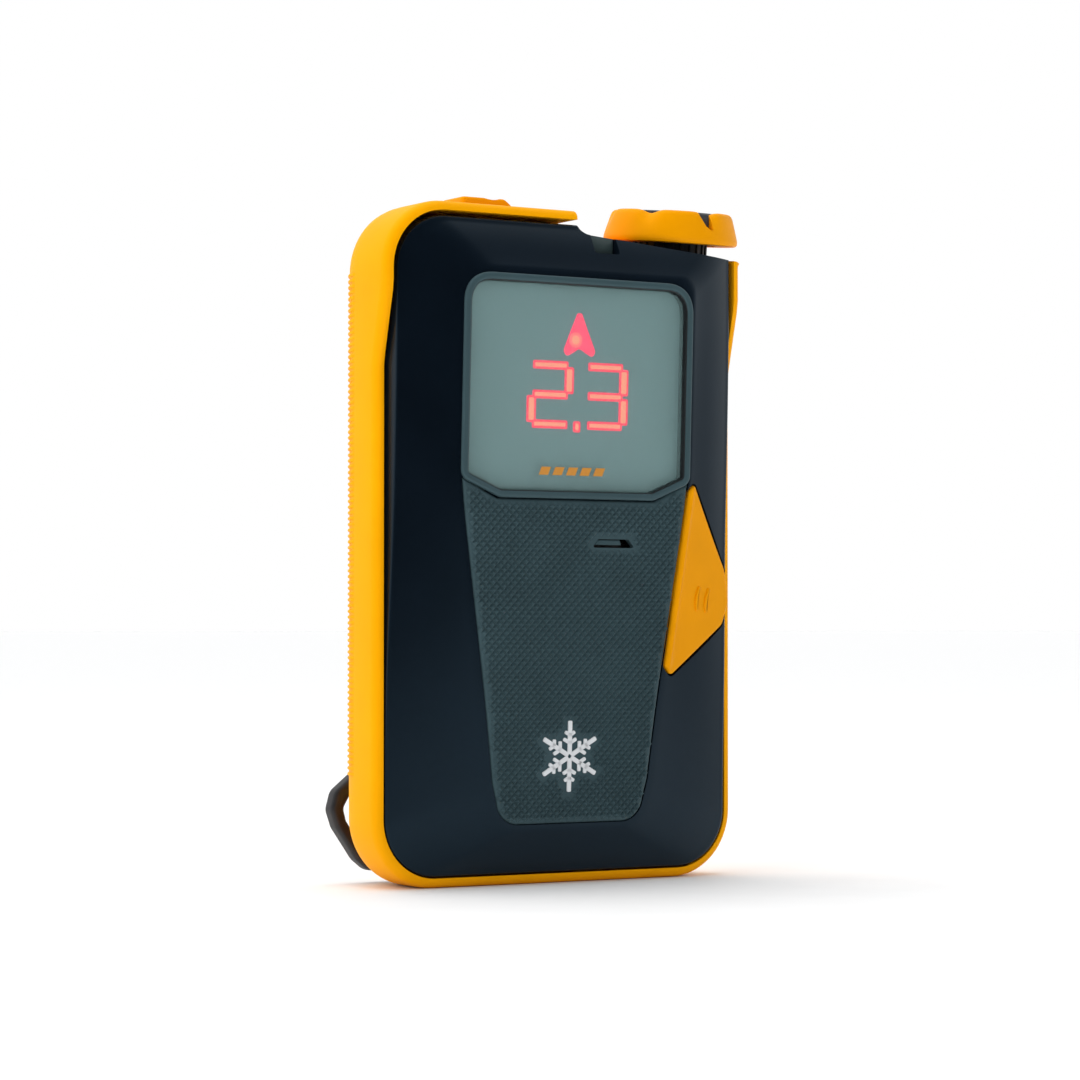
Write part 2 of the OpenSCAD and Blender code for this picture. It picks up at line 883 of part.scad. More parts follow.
module trigger_spring() {
    color(steel)
        trigger_frame()
            coil(0.97, 0.13, -2.6, 2.6, 8, 5, 10);
}

module trigger_magnet() {
    color([0.5, 0.5, 0.52])
        trigger_frame()
            translate([7, -0.5, -1])
                rotate([90, 0, 0])
                    cylinder(r = 1.2, h = 0.95);
}

// ---- options button ----

module options_button() {
    low = body_h - shell_wall - 1;
    color(yellow)
        difference() {
            union() {
                translate([0, button_y[1], 0])
                    rotate([90, 0, 0])
                        linear_extrude(button_y[1] - button_y[0])
                            polygon([[button_x[0], low], [button_x[1], low],
                                [button_x[1], body_h + 0.3],
                                [button_x[1] - 2.1, body_h + button_up],
                                [button_x[0] + 0.4, body_h + button_up],
                                [button_x[0], body_h + button_up - 0.4]]);
                translate([button_x[0] - 1, button_y[0] - 1, low - 0.8])
                    cube([button_x[1] - button_x[0] + 2, button_y[1] - button_y[0] + 2, 1.4]);
                translate([-13.2, 1.8, 110.8])
                    cube([4, 2, 5]);
            }
            translate([-10.4, 0.6, body_h + button_up + 6.7])
                sphere(r = 7.4, $fn = 40);
        }
}

module button_spring() {
    color(steel)
        translate([switch_at[0], switch_at[1], 0])
            coil(3.2, 0.3, switch_z + 3.8, 114.25, 3);
}

module button_switch() {
    color([0.2, 0.2, 0.2])
        union() {
            translate([switch_at[0] - switch_w / 2, switch_at[1] - switch_w / 2, switch_z])
                cube([switch_w, switch_w, switch_h]);
            translate([switch_at[0], switch_at[1], switch_z + switch_h - 0.1])
                cylinder(r = 1.5, h = 0.8);
        }
}

// ---- electronics ----

module circuit_board() {
    color([0.08, 0.35, 0.2])
        difference() {
            translate([-board_half, board_y[0], board_z[0]])
                cube([2 * board_half, board_y[1] - board_y[0], board_z[1] - board_z[0]]);
            translate([22, -8, 97])
                cube([20, 16, 20]);
            for (at = [[-27, 105], [15.5, 105]])
                y_cylinder(at[0], at[1], 4.2, -8, 8);
            for (at = board_screws_at)
                y_cylinder(at[0], at[1], 1.1, -8, 8);
        }
}

module processor() {
    color([0.1, 0.1, 0.1])
        union() {
            translate([-9, board_y[0] - 1.4, 30])
                cube([12, 1.2, 12]);
            for (i = [0:9])
                for (side = [-1, 1])
                    translate([-3 + side * 6.4 - 0.5, board_y[0] - 0.6, 31 + i * 1.1])
                        cube([1, 0.6, 0.5]);
        }
}

module board_parts() {
    color([0.6, 0.55, 0.45])
        union() {
            for (i = [0:5])
                for (j = [0:2])
                    translate([-20 + j * 2.6, board_y[0] - 0.9, 26 + i * 3.2])
                        cube([1.2, 0.9, 2]);
            for (x = [-16, -8])
                y_cylinder(x, 62, 2.5, board_y[0] - 4.2, board_y[0]);
            translate([10, board_y[0] - 3, 22])
                cube([7, 3, 7]);
        }
}

module sensor_chips() {
    color([0.12, 0.12, 0.12])
        union() {
            translate([9, board_y[0] - 1, 34])
                cube([4, 1, 4]);
            translate([16.5, board_y[0] - 0.8, 44])
                cube([3, 0.8, 3]);
            translate([19, board_y[1], 86])
                cube([3.4, 0.9, 3]);
        }
}

module board_screws() {
    color(steel)
        for (at = board_screws_at) {
            y_cylinder(at[0], at[1], 0.8, -6, board_y[1] + 0.2);
            y_cylinder(at[0], at[1], 1.7, board_y[1], board_y[1] + 0.35);
        }
}

module display_module() {
    color([0.17, 0.19, 0.2])
        difference() {
            translate([-module_half, -12, module_z[0]])
                cube([2 * module_half, 12 + board_y[0], module_z[1] - module_z[0]]);
            in_face(-lens_depth - lens_t - 0.4, 12)
                square([80, 260], center = true);
        }
}

segment_w = 1.2;
digit_h = 11.6;
digit_w = 8.4;
digit_z = 79.2;
segment_z0 = -lens_depth - lens_t - 0.4;

// One bar of a digit, w long, centred.
module bar(len) {
    polygon([[-len / 2, 0], [-len / 2 + 0.5, segment_w / 2], [len / 2 - 0.5, segment_w / 2],
        [len / 2, 0], [len / 2 - 0.5, -segment_w / 2], [-len / 2 + 0.5, -segment_w / 2]]);
}

// Places of the seven bars, a to g, as x, y and turn, in fractions of the digit's size.
bars = [[0.5, 1, 0], [1, 0.75, 90], [1, 0.25, 90], [0.5, 0, 0], [0, 0.25, 90], [0, 0.75, 90],
    [0.5, 0.5, 0]];

module digit(x, lit) {
    w = digit_w - segment_w;
    h = digit_h - segment_w;
    for (i = lit)
        translate([x + bars[i][0] * w, digit_z + segment_w / 2 + bars[i][1] * h])
            rotate(bars[i][2])
                bar(bars[i][2] == 0 ? w - 0.5 : h / 2 - 0.5);
}

module digit_segments() {
    color([1, 0.3, 0.35])
        in_face(segment_z0 + 0.01, segment_z0 + 0.26) {
            digit(-9.3, [0, 1, 6, 4, 3]);
            digit(2.5, [0, 1, 6, 2, 3]);
            translate([0.1, digit_z + 0.6])
                circle(r = 0.65);
        }
}

module direction_arrow() {
    color([1, 0.2, 0.4])
        in_face(segment_z0 + 0.01, segment_z0 + 0.26)
            polygon([[0.1, 99.5], [0.9, 99.5], [3.7, 92.9], [3.3, 92.2], [1.6, 92.6], [0.5, 93.6],
                [-0.6, 92.6], [-2.3, 92.2], [-2.7, 92.9]]);
}

module speaker() {
    color([0.2, 0.2, 0.22])
        difference() {
            y_cylinder(speaker_at[0], speaker_at[1], speaker_r, -9.0, board_y[0]);
            y_cylinder(speaker_at[0], speaker_at[1], speaker_r - 1.4, -9.5, -8.4);
        }
}

module speaker_mesh() {
    color([0.4, 0.4, 0.4])
        y_cylinder(speaker_at[0], speaker_at[1], speaker_r - 1, -9.2, -9.02);
}

module long_antenna_core() {
    color(ferrite)
        translate(long_at)
            cylinder(r = rod_r, h = long_l);
}

module long_antenna_coil() {
    color(copper)
        translate([long_at[0], long_at[1], long_at[2] + 8.5])
            difference() {
                cylinder(r = winding_r, h = long_l - 20);
                translate([0, 0, -1])
                    cylinder(r = winding_bore, h = long_l - 18);
            }
}

module cross_antenna_core() {
    color(ferrite)
        translate(cross_at)
            rotate([0, 90, 0])
                cylinder(r = rod_r, h = cross_l);
}

module cross_antenna_coil() {
    color(copper)
        translate([cross_at[0] + 4.5, cross_at[1], cross_at[2]])
            rotate([0, 90, 0])
                difference() {
                    cylinder(r = winding_r, h = cross_l - 9);
                    translate([0, 0, -1])
                        cylinder(r = winding_bore, h = cross_l - 7);
                }
}

module short_antenna_core() {
    color(ferrite)
        y_cylinder(short_at[0], short_at[1], 3.2, -1.1, 10);
}

module short_antenna_coil() {
    color(copper)
        difference() {
            y_cylinder(short_at[0], short_at[1], 5.1, 0.6, 8.7);
            y_cylinder(short_at[0], short_at[1], 3.25, -2, 12);
        }
}

module antenna_clips() {
    color([0.2, 0.2, 0.2])
        union() {
            for (z = [22, 88.5])
                difference() {
                    translate([long_at[0] - 4.6, board_y[1], z])
                        cube([9.2, 8.4, 3]);
                    translate([long_at[0], long_at[1], z - 1])
                        cylinder(r = rod_r + 0.06, h = 8);
                }
            for (x = [-18.5, 15])
                difference() {
                    translate([x, board_y[1], cross_at[2] - 4.4])
                        cube([2.6, 10, 8.8]);
                    translate([x - 1, cross_at[1], cross_at[2]])
                        rotate([0, 90, 0])
                            cylinder(r = rod_r + 0.06, h = 8);
                }
        }
}

module status_led() {
    color([0.9, 0.9, 0.8])
        translate([5.4, board_y[0] - 1.2, 100.6])
            cube([2.2, 1.2, 1.6]);
}

rear_shell();
front_cover();
grip_pad();
display_bezel();
display_lens();
status_window();
case_gasket();
case_screws();
leash_loop();
battery_door();
door_gasket();
door_hinge_pin();
door_screw();
door_insert();
battery_tray();
battery_1();
battery_2();
battery_3();
spring_contacts();
flat_contacts();
mode_knob();
knob_insert();
knob_shaft();
knob_clip();
knob_magnet();
knob_collar();
knob_oring();
search_trigger();
trigger_pin();
trigger_spring();
trigger_magnet();
options_button();
button_spring();
button_switch();
circuit_board();
processor();
board_parts();
sensor_chips();
board_screws();
display_module();
digit_segments();
direction_arrow();
speaker();
speaker_mesh();
long_antenna_core();
long_antenna_coil();
cross_antenna_core();
cross_antenna_coil();
short_antenna_core();
short_antenna_coil();
antenna_clips();
status_led();
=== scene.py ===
"""Looks of an avalanche transceiver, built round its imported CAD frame."""

import math

import bmesh
import bpy
import numpy as np
from mathutils import Matrix, Vector


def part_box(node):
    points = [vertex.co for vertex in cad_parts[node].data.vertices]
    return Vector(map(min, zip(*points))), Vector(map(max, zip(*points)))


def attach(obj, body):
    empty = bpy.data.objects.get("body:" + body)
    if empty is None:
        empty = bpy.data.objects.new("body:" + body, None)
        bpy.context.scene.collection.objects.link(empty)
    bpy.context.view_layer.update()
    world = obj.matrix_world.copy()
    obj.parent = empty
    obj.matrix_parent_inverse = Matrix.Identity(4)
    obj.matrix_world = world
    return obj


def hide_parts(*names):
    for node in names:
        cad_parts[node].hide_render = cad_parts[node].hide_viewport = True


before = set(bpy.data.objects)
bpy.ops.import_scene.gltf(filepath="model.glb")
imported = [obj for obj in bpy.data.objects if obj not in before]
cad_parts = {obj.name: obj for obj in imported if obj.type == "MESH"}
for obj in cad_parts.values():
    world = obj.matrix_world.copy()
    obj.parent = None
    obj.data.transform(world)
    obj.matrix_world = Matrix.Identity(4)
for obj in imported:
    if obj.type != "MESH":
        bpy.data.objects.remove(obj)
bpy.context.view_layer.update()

MM = 0.001

# ---- dimensions, in millimetres, as in the design ----

HALF_W, BODY_H, BACK_Y = 37.0, 118.0, 13.4
CORNER_R, KNOB_CORNER, WALL = 12.0, 0.4, 1.9
SIDE_CURVE_Y, SIDE_CURVE_IN = 0.2, 18.0
END_CURVE_Y, END_CURVE_IN = 7.4, 6.0
RIM_IN, RIM_DEEP, LIP_IN = 1.5, 1.85, 2.6
RIM_LOW_Y, RIM_HIGH_Y = -4.55, -7.85
RIM_STEP_Z = (90.0, 103.0)
SKIRT_HALF, COVER_Z, COVER_R, SKIRT_Y = 34.9, (2.0, 115.4), 9.8, -3.5
FACE_Y, FACE_TILT = -10.06, math.radians(2.28)
PAD_PROUD, PAD_T = 0.6, 1.6
PAD_Z = (10.6, 69.9)
PAD_FOOT_R = 4.5
FACE_TOP = 105.9
LENS_DEPTH, LENS_T, RIM_W = 1.2, 1.2, 1.3
LENS_HALF, LENS_FOOT_HALF, LENS_Z, LENS_SIDE_Z, LENS_R = 22.3, 15.6, (68.4, 104.4), 71.2, 2.9
SLOT = ((3.3, 58.7), (12.2, 58.7), (10.9, 60.2), (4.5, 60.2))
KNOB_AT, KNOB_LEAN = (28.5, 1.0, 113.1), math.radians(6)
SHOULDER_R, SHOULDER_H = 13.1, 15.5
TRIGGER_AT, TRIGGER_TURN = (22.38, -8.5, 53.21), (2.06, 8.13, 17.5)
TRIGGER_Y = (-3.0, -1.2)
SCOOP_AT, SCOOP_R = (-29.6, 9.6, 9.4), 6.4
DOOR_HALF, DOOR_Z, DOOR_T, DOOR_GAP, HINGE_Y, HINGE_R = 20.4, (10.0, 66.0), 1.8, 0.3, 11.8, 1.6
SCREW_Z = 62.6
RECESS_DEEP, OPENING_HALF, OPENING_Z, INSERT_HOLE_R = 2.25, 17.0, (13.2, 58.2), 2.38
CASE_BORE_R, CASE_BORE_Y, SHAFT_HOLE_R = 2.5, 8.6, 3.3
CASE_SCREWS = ((-18, 5.2), (18, 5.2), (-27, 105), (15.5, 105))
BUTTON_X, BUTTON_Y = (-16.6, -5.9), (-1.1, 6.5)
BUTTON_LOW, BUTTON_UP, BUTTON_GAP = 115.1, 2.2, 0.3
FLANGE_Z = (114.3, 115.7)

# ---- mesh tools ----


def smooth(obj, crease_deg=38.0):
    """Smooth shading, with edges sharper than the crease angle kept crisp."""
    bm = bmesh.new()
    bm.from_mesh(obj.data)
    bmesh.ops.remove_doubles(bm, verts=bm.verts, dist=2e-6)
    bmesh.ops.dissolve_degenerate(bm, edges=bm.edges, dist=1e-6)
    bmesh.ops.recalc_face_normals(bm, faces=bm.faces)
    limit = math.radians(crease_deg)
    for face in bm.faces:
        face.smooth = True
    for edge in bm.edges:
        edge.smooth = len(edge.link_faces) == 2 and edge.calc_face_angle(0.0) < limit
    bm.to_mesh(obj.data)
    bm.free()


def add_mesh(name, verts, faces, crease_deg=38.0):
    mesh = bpy.data.meshes.new(name)
    mesh.from_pydata([tuple(c * MM for c in v) for v in verts], [], faces)
    obj = bpy.data.objects.new(name, mesh)
    bpy.context.scene.collection.objects.link(obj)
    smooth(obj, crease_deg)
    return obj


def wrapped_faces(rows, n):
    """Faces of a grid of points that closes on itself both ways."""
    faces = []
    for i in range(rows):
        j = (i + 1) % rows
        for k in range(n):
            m = (k + 1) % n
            faces.append((i * n + k, j * n + k, j * n + m, i * n + m))
    return faces


def loft(name, rings, crease_deg=38.0):
    """Closed skin through rings of equal length."""
    n = len(rings[0])
    verts = [p for ring in rings for p in ring]
    faces = []
    for k in range(len(rings) - 1):
        for i in range(n):
            j = (i + 1) % n
            faces.append((k * n + i, k * n + j, (k + 1) * n + j, (k + 1) * n + i))
    faces.append(tuple(range(n - 1, -1, -1)))
    start = (len(rings) - 1) * n
    faces.append(tuple(start + i for i in range(n)))
    return add_mesh(name, verts, faces, crease_deg)


def bake(obj):
    """Applies the object's modifiers to its mesh."""
    bpy.context.view_layer.update()
    graph = bpy.context.evaluated_depsgraph_get()
    mesh = bpy.data.meshes.new_from_object(obj.evaluated_get(graph))
    obj.modifiers.clear()
    old = obj.data
    obj.data = mesh
    bpy.data.meshes.remove(old)


def combine(obj, tools, operation="DIFFERENCE"):
    """Booleans an object with each tool in turn, and uses the tools up."""
    for tool in tools:
        modifier = obj.modifiers.new("combine", "BOOLEAN")
        modifier.object = tool
        modifier.operation = operation
        modifier.solver = "EXACT"
        bake(obj)
        bpy.data.objects.remove(tool, do_unlink=True)
    return obj


def place(obj, matrix):
    """Moves the mesh itself, so that the object stays at the origin."""
    obj.data.transform(matrix)
    obj.data.update()
    return obj


def move(x, y, z):
    return Matrix.Translation((x * MM, y * MM, z * MM))


def turn(degrees, axis):
    return Matrix.Rotation(math.radians(degrees), 4, axis)


FACE = move(0, FACE_Y, 0) @ turn(90 + math.degrees(FACE_TILT), "X")
KNOB = move(*KNOB_AT) @ turn(math.degrees(KNOB_LEAN), "X")
TRIGGER = (move(*TRIGGER_AT) @ turn(TRIGGER_TURN[0], "X") @ turn(TRIGGER_TURN[1], "Y")
           @ turn(TRIGGER_TURN[2], "Z"))
# Stands an outline drawn in X and Y up in X and Z, with its depth along -Y.
UPRIGHT = turn(90, "X")
# Lays a cylinder drawn along Z on the battery door's hinge line.
HINGE = move(0, HINGE_Y, DOOR_Z[0]) @ turn(90, "Y")


def arc(cx, cy, r, a0, a1, steps=10):
    return [(cx + r * math.cos(math.radians(a0 + (a1 - a0) * i / steps)),
             cy + r * math.sin(math.radians(a0 + (a1 - a0) * i / steps))) for i in range(steps + 1)]


def rounded_polygon(points, radius, steps=6):
    """Outline with each corner replaced by an arc. A corner can carry its own radius."""
    out = []
    count = len(points)
    for i in range(count):
        here = Vector(points[i][:2])
        r = points[i][2] if len(points[i]) > 2 else radius
        before = (Vector(points[i - 1][:2]) - here)
        after = (Vector(points[(i + 1) % count][:2]) - here)
        if r <= 0:
            out.append(tuple(here))
            continue
        half = before.angle(after) / 2
        reach = min(r / math.tan(half), before.length * 0.49, after.length * 0.49)
        a = here + before.normalized() * reach
        b = here + after.normalized() * reach
        for k in range(steps + 1):
            t = k / steps
            out.append(tuple(a * (1 - t) ** 2 + here * (2 * t * (1 - t)) + b * t ** 2))
    return out


def grown(outline, amount):
    """Outline moved outwards along its own normals."""
    p = np.array(outline, float)
    edge = np.roll(p, -1, axis=0) - p
    edge /= np.maximum(np.linalg.norm(edge, axis=1, keepdims=True), 1e-9)
    normal = np.stack([edge[:, 1], -edge[:, 0]], axis=1)
    corner = normal + np.roll(normal, 1, axis=0)
    corner /= np.maximum(np.linalg.norm(corner, axis=1, keepdims=True), 1e-9)
    lean = np.maximum((corner * normal).sum(axis=1, keepdims=True), 0.4)
    return [tuple(q) for q in p + corner * amount / lean]


def resampled(outline, step):
    """Outline with extra points, so that no edge is much longer than the step."""
    out = []
    for i, a in enumerate(outline):
        b = outline[(i + 1) % len(outline)]
        n = max(1, round(math.dist(a, b) / step))
        out += [(a[0] + (b[0] - a[0]) * k / n, a[1] + (b[1] - a[1]) * k / n) for k in range(n)]
    return out


def slab(name, outline, z0, z1, edge=0.0, low_edge=0.0, steps=4):
    """Extruded outline, anticlockwise, with rounded top and bottom edges."""
    if low_edge:
        rings = [[(x, y, z0 + low_edge * (1 - math.cos(math.pi / 2 * k / steps)))
                  for x, y in grown(outline, -low_edge * (1 - math.sin(math.pi / 2 * k / steps)))]
                 for k in range(steps + 1)]
    else:
        rings = [[(x, y, z0) for x, y in outline]]
    if edge:
        rings += [[(x, y, z1 - edge * (1 - math.sin(math.pi / 2 * k / steps)))
                   for x, y in grown(outline, -edge * (1 - math.cos(math.pi / 2 * k / steps)))]
                  for k in range(steps + 1)]
    else:
        rings.append([(x, y, z1) for x, y in outline])
    return loft(name, rings)


def lathe(name, profile, segments=96):
    """Ring turned about Z from a closed profile of radius and height."""
    verts = []
    for i in range(segments):
        a = 2 * math.pi * i / segments
        verts += [(r * math.cos(a), r * math.sin(a), z) for r, z in profile]
    return add_mesh(name, verts, wrapped_faces(segments, len(profile)))


def cylinder(name, r, z0, z1, segments=48):
    return slab(name, arc(0, 0, r, 0, 360 - 360 / segments, segments - 1), z0, z1)


def block(name, low, high):
    (x0, y0, z0), (x1, y1, z1) = low, high
    return slab(name, [(x0, y0), (x1, y0), (x1, y1), (x0, y1)], z0, z1)


def ball(name, at, r):
    bm = bmesh.new()
    bmesh.ops.create_uvsphere(bm, u_segments=64, v_segments=40, radius=r * MM)
    mesh = bpy.data.meshes.new(name)
    bm.to_mesh(mesh)
    bm.free()
    obj = bpy.data.objects.new(name, mesh)
    bpy.context.scene.collection.objects.link(obj)
    return place(obj, move(*at))


def joined(name, objs, crease_deg=38.0):
    """One object from several."""
    bm = bmesh.new()
    for obj in objs:
        bm.from_mesh(obj.data)
        bpy.data.objects.remove(obj, do_unlink=True)
    mesh = bpy.data.meshes.new(name)
    bm.to_mesh(mesh)
    bm.free()
    out = bpy.data.objects.new(name, mesh)
    bpy.context.scene.collection.objects.link(out)
    smooth(out, crease_deg)
    return out


# ---- materials ----


def material(name, color, roughness, metallic=0.0, specular=0.5, tint=0.06,
             bump=0.0, bump_scale=900.0, emission=None, emit=0.0, alpha=1.0, sheen=None):
    """Procedural finish: slow colour variation, fine grain in the gloss, and a moulded texture."""
    mat = bpy.data.materials.new(name)
    mat.use_nodes = True
    nodes, links = mat.node_tree.nodes, mat.node_tree.links
    shader = nodes["Principled BSDF"]
    shader.inputs["Metallic"].default_value = metallic
    shader.inputs["Specular IOR Level"].default_value = specular
    shader.inputs["Alpha"].default_value = alpha
    if sheen:
        shader.inputs["Specular Tint"].default_value = (*sheen, 1)
    place_in = nodes.new("ShaderNodeTexCoord")
    cloud = nodes.new("ShaderNodeTexNoise")
    cloud.inputs["Scale"].default_value = 90.0
    cloud.inputs["Detail"].default_value = 4.0
    links.new(place_in.outputs["Object"], cloud.inputs["Vector"])
    ramp = nodes.new("ShaderNodeValToRGB")
    low = [max(0.0, c * (1 - tint)) for c in color]
    high = [min(1.0, c * (1 + tint)) for c in color]
    ramp.color_ramp.elements[0].position = 0.3
    ramp.color_ramp.elements[1].position = 0.7
    ramp.color_ramp.elements[0].color = (*low, 1)
    ramp.color_ramp.elements[1].color = (*high, 1)
    links.new(cloud.outputs["Fac"], ramp.inputs["Fac"])
    links.new(ramp.outputs["Color"], shader.inputs["Base Color"])
    fine = nodes.new("ShaderNodeTexNoise")
    fine.inputs["Scale"].default_value = bump_scale
    fine.inputs["Detail"].default_value = 3.0
    links.new(place_in.outputs["Object"], fine.inputs["Vector"])
    gloss = nodes.new("ShaderNodeMapRange")
    gloss.inputs["To Min"].default_value = roughness * 0.88
    gloss.inputs["To Max"].default_value = min(1.0, roughness * 1.12)
    links.new(fine.outputs["Fac"], gloss.inputs["Value"])
    links.new(gloss.outputs["Result"], shader.inputs["Roughness"])
    if bump:
        relief = nodes.new("ShaderNodeBump")
        relief.inputs["Strength"].default_value = bump
        relief.inputs["Distance"].default_value = 0.0001
        links.new(fine.outputs["Fac"], relief.inputs["Height"])
        links.new(relief.outputs["Normal"], shader.inputs["Normal"])
    if emission:
        shader.inputs["Emission Color"].default_value = (*emission, 1)
        shader.inputs["Emission Strength"].default_value = emit
    return mat


YELLOW = material("shell_yellow", (0.96, 0.40, 0.0), 0.48, specular=0.05, bump=0.12, bump_scale=2600,
                  tint=0.03)
YELLOW_DEEP = material("button_yellow", (0.88, 0.34, 0.0), 0.44, specular=0.06, bump=0.10, bump_scale=2600,
                       tint=0.04)
COVER_BLACK = material("cover_black", (0.0025, 0.0050, 0.0090), 0.24, specular=0.32, bump=0.03,
                       bump_scale=3500, tint=0.12, sheen=(0.45, 0.75, 1.0))
TRIM_BLACK = material("trim_black", (0.012, 0.012, 0.014), 0.5, bump=0.15, bump_scale=2500)
DOOR_GREY = material("door_grey", (0.022, 0.024, 0.027), 0.5, bump=0.35, bump_scale=2200)
PAD_RUBBER = material("pad_rubber", (0.040, 0.070, 0.080), 0.5, specular=0.35, bump=0.15, bump_scale=3000,
                      tint=0.1, sheen=(0.6, 0.9, 1.0))
BEZEL_GREY = material("bezel_grey", (0.042, 0.074, 0.084), 0.42, specular=0.35, bump=0.1, bump_scale=3000,
                      sheen=(0.6, 0.9, 1.0))
LENS = material("lens_smoke", (0.225, 0.35, 0.35), 0.25, specular=0.3, alpha=0.3, bump=0.01, tint=0.02)
WINDOW = material("window_smoke", (0.035, 0.055, 0.056), 0.35, specular=0.3, alpha=0.92)
DISPLAY_BACK = material("display_dark", (0.32, 0.50, 0.50), 0.6, tint=0.03)
INSERT_GREY = material("insert_grey", (0.045, 0.05, 0.056), 0.45, bump=0.2)
STEEL = material("steel", (0.55, 0.55, 0.57), 0.3, metallic=1.0, bump=0.15, bump_scale=1500)
CONTACT = material("contact_metal", (0.7, 0.68, 0.62), 0.25, metallic=1.0)
BRASS = material("insert_brass", (0.68, 0.45, 0.16), 0.3, metallic=1.0)
MAGNET = material("magnet", (0.5, 0.5, 0.52), 0.2, metallic=1.0)
SEAL = material("seal_rubber", (0.02, 0.02, 0.02), 0.7, bump=0.2)
TRAY = material("tray_black", (0.018, 0.019, 0.021), 0.5, bump=0.3)
BOARD = material("board_green", (0.015, 0.12, 0.05), 0.3, bump=0.1)
CHIP = material("chip_black", (0.02, 0.02, 0.02), 0.45, bump=0.2)
MESH_GREY = material("mesh_grey", (0.06, 0.06, 0.06), 0.8, bump=0.6)
FERRITE = material("ferrite", (0.04, 0.037, 0.037), 0.6, bump=0.5)
COPPER = material("copper", (0.62, 0.26, 0.10), 0.3, metallic=1.0, bump=0.3)
CLEAR = material("led_clear", (0.7, 0.7, 0.66), 0.2)
CELL = material("cell_wrap", (0.24, 0.25, 0.27), 0.28, metallic=0.5, tint=0.1)
LED_EDGE = material("led_edge", (0.9, 0.0, 0.03), 0.5, specular=0.1, emission=(1.0, 0.0, 0.07), emit=1.3)
LED_ARROW = material("led_arrow", (0.9, 0.0, 0.05), 0.5, specular=0.1, emission=(1.0, 0.0, 0.09), emit=1.6)
LED_GLOW = material("led_glow", (0.9, 0.08, 0.08), 0.5, specular=0.1, emission=(1.0, 0.12, 0.12), emit=1.4)
LED_CORE = material("led_core", (0.9, 0.22, 0.12), 0.5, specular=0.1, emission=(1.0, 0.31, 0.15), emit=1.2)
MARK_GREY = material("mark_grey", (0.78, 0.80, 0.82), 0.5, tint=0.03)
AMBER = material("amber_print", (0.62, 0.26, 0.03), 0.5, tint=0.03)

# ---- shapes shared by pieces ----


SIDE_STEPS, CORNER_STEPS, ACROSS_STEPS = 45, 18, 12


def outline_xz(half, z0, z1, r):
    """Rounded rectangle in X and Z, anticlockwise from the front. The corner by the knob is tighter."""
    side = [z0 + r + (z1 - z0 - 2 * r) * k / SIDE_STEPS for k in range(1, SIDE_STEPS)]
    across = [-0.9 + 1.8 * k / ACROSS_STEPS for k in range(ACROSS_STEPS + 1)]
    bottom = [((half - r) * t, z0) for t in across]
    top = [(-(half - r) * t, z1) for t in across]
    tight = r * KNOB_CORNER
    return (bottom + arc(half - r, z0 + r, r, -90, 0, CORNER_STEPS) + [(half, z) for z in side]
            + arc(half - tight, z1 - tight, tight, 0, 90, CORNER_STEPS) + top
            + arc(-half + r, z1 - r, r, 90, 180, CORNER_STEPS) + [(-half, z) for z in reversed(side)]
            + arc(-half + r, z0 + r, r, 180, 270, CORNER_STEPS))


def ease(t):
    t = min(1.0, max(0.0, t))
    return t * t * (3 - 2 * t)


def rim_y(z):
    """Depth of the shell's rim, which comes forward near the top."""
    t = (z - RIM_STEP_Z[0]) / (RIM_STEP_Z[1] - RIM_STEP_Z[0])
    return RIM_LOW_Y + (RIM_HIGH_Y - RIM_LOW_Y) * min(1.0, max(0.0, t))


def curve_in(y, start, reach):
    """How far the shell has drawn in at a depth, on a quarter ellipse that ends at the back."""
    if y <= start:
        return 0.0
    t = min(1.0, (y - start) / (BACK_Y - start))
    return reach * (1 - math.sqrt(1 - t * t))


def body_ring(y, inset=0.0):
    """Outline of the shell at one depth."""
    side = curve_in(y, SIDE_CURVE_Y, SIDE_CURVE_IN)
    end = curve_in(y, END_CURVE_Y, END_CURVE_IN)
    return [(x, y, z) for x, z in outline_xz(HALF_W - inset - side, inset + end,
                                             BODY_H - inset - end, CORNER_R - inset)]


def rim_ring(a):
    """Ring of the rim's front rounding: a from 0 at its inner edge to 90 degrees at the side."""
    out = RIM_IN * (1 - math.sin(math.radians(a)))
    return [(x, rim_y(z) - RIM_DEEP * math.cos(math.radians(a)), z)
            for x, z in outline_xz(HALF_W - out, out, BODY_H - out, CORNER_R - out)]


def above_shelf():
    """Tools that clear the space over the shelf under the knob."""
    start_x = 4.0
    lean = (move(24, KNOB_AT[1], KNOB_AT[2]) @ turn(math.degrees(KNOB_LEAN), "X") @ turn(5.0, "Y")
            @ move(-24, 0, 0))
    over = place(block("over", (start_x - 0.3, -40, 0), (64, 40, 20)), lean)
    bite = place(slab("bite", arc(start_x, 116.0, 2.3, 0, 355, 71), -40, 40), UPRIGHT)
    step = block("step", (start_x - 2.28, -40, 116.0), (start_x + 8, 40, 140))
    return [over, bite, step]


def shelf_block():
    """Block over the plane of the shelf, which leans with the knob."""
    return place(block("shelf", (0.1, -40, -2.3), (64, 40, 20)),
                 move(0, KNOB_AT[1], KNOB_AT[2]) @ turn(math.degrees(KNOB_LEAN), "X"))


def y_rod(name, x, z, r, y0, y1):
    """Cylinder that runs from front to back."""
    return place(cylinder(name, r, 0, y1 - y0), move(x, y0, z) @ turn(-90, "X"))


TRIGGER_POINTS = [(-1.8, -15.6, 0.7), (0.1, -17.0, 1.0), (11.9, -6.3, 2.4), (12.9, -2.0, 2.6), (11.0, 3.4, 5),
                  (-0.6, 17.4, 1.1), (-1.8, 15.9, 0.7)]


def trigger_outline(grow=0.0):
    return grown(rounded_polygon(TRIGGER_POINTS, 1.0), grow)


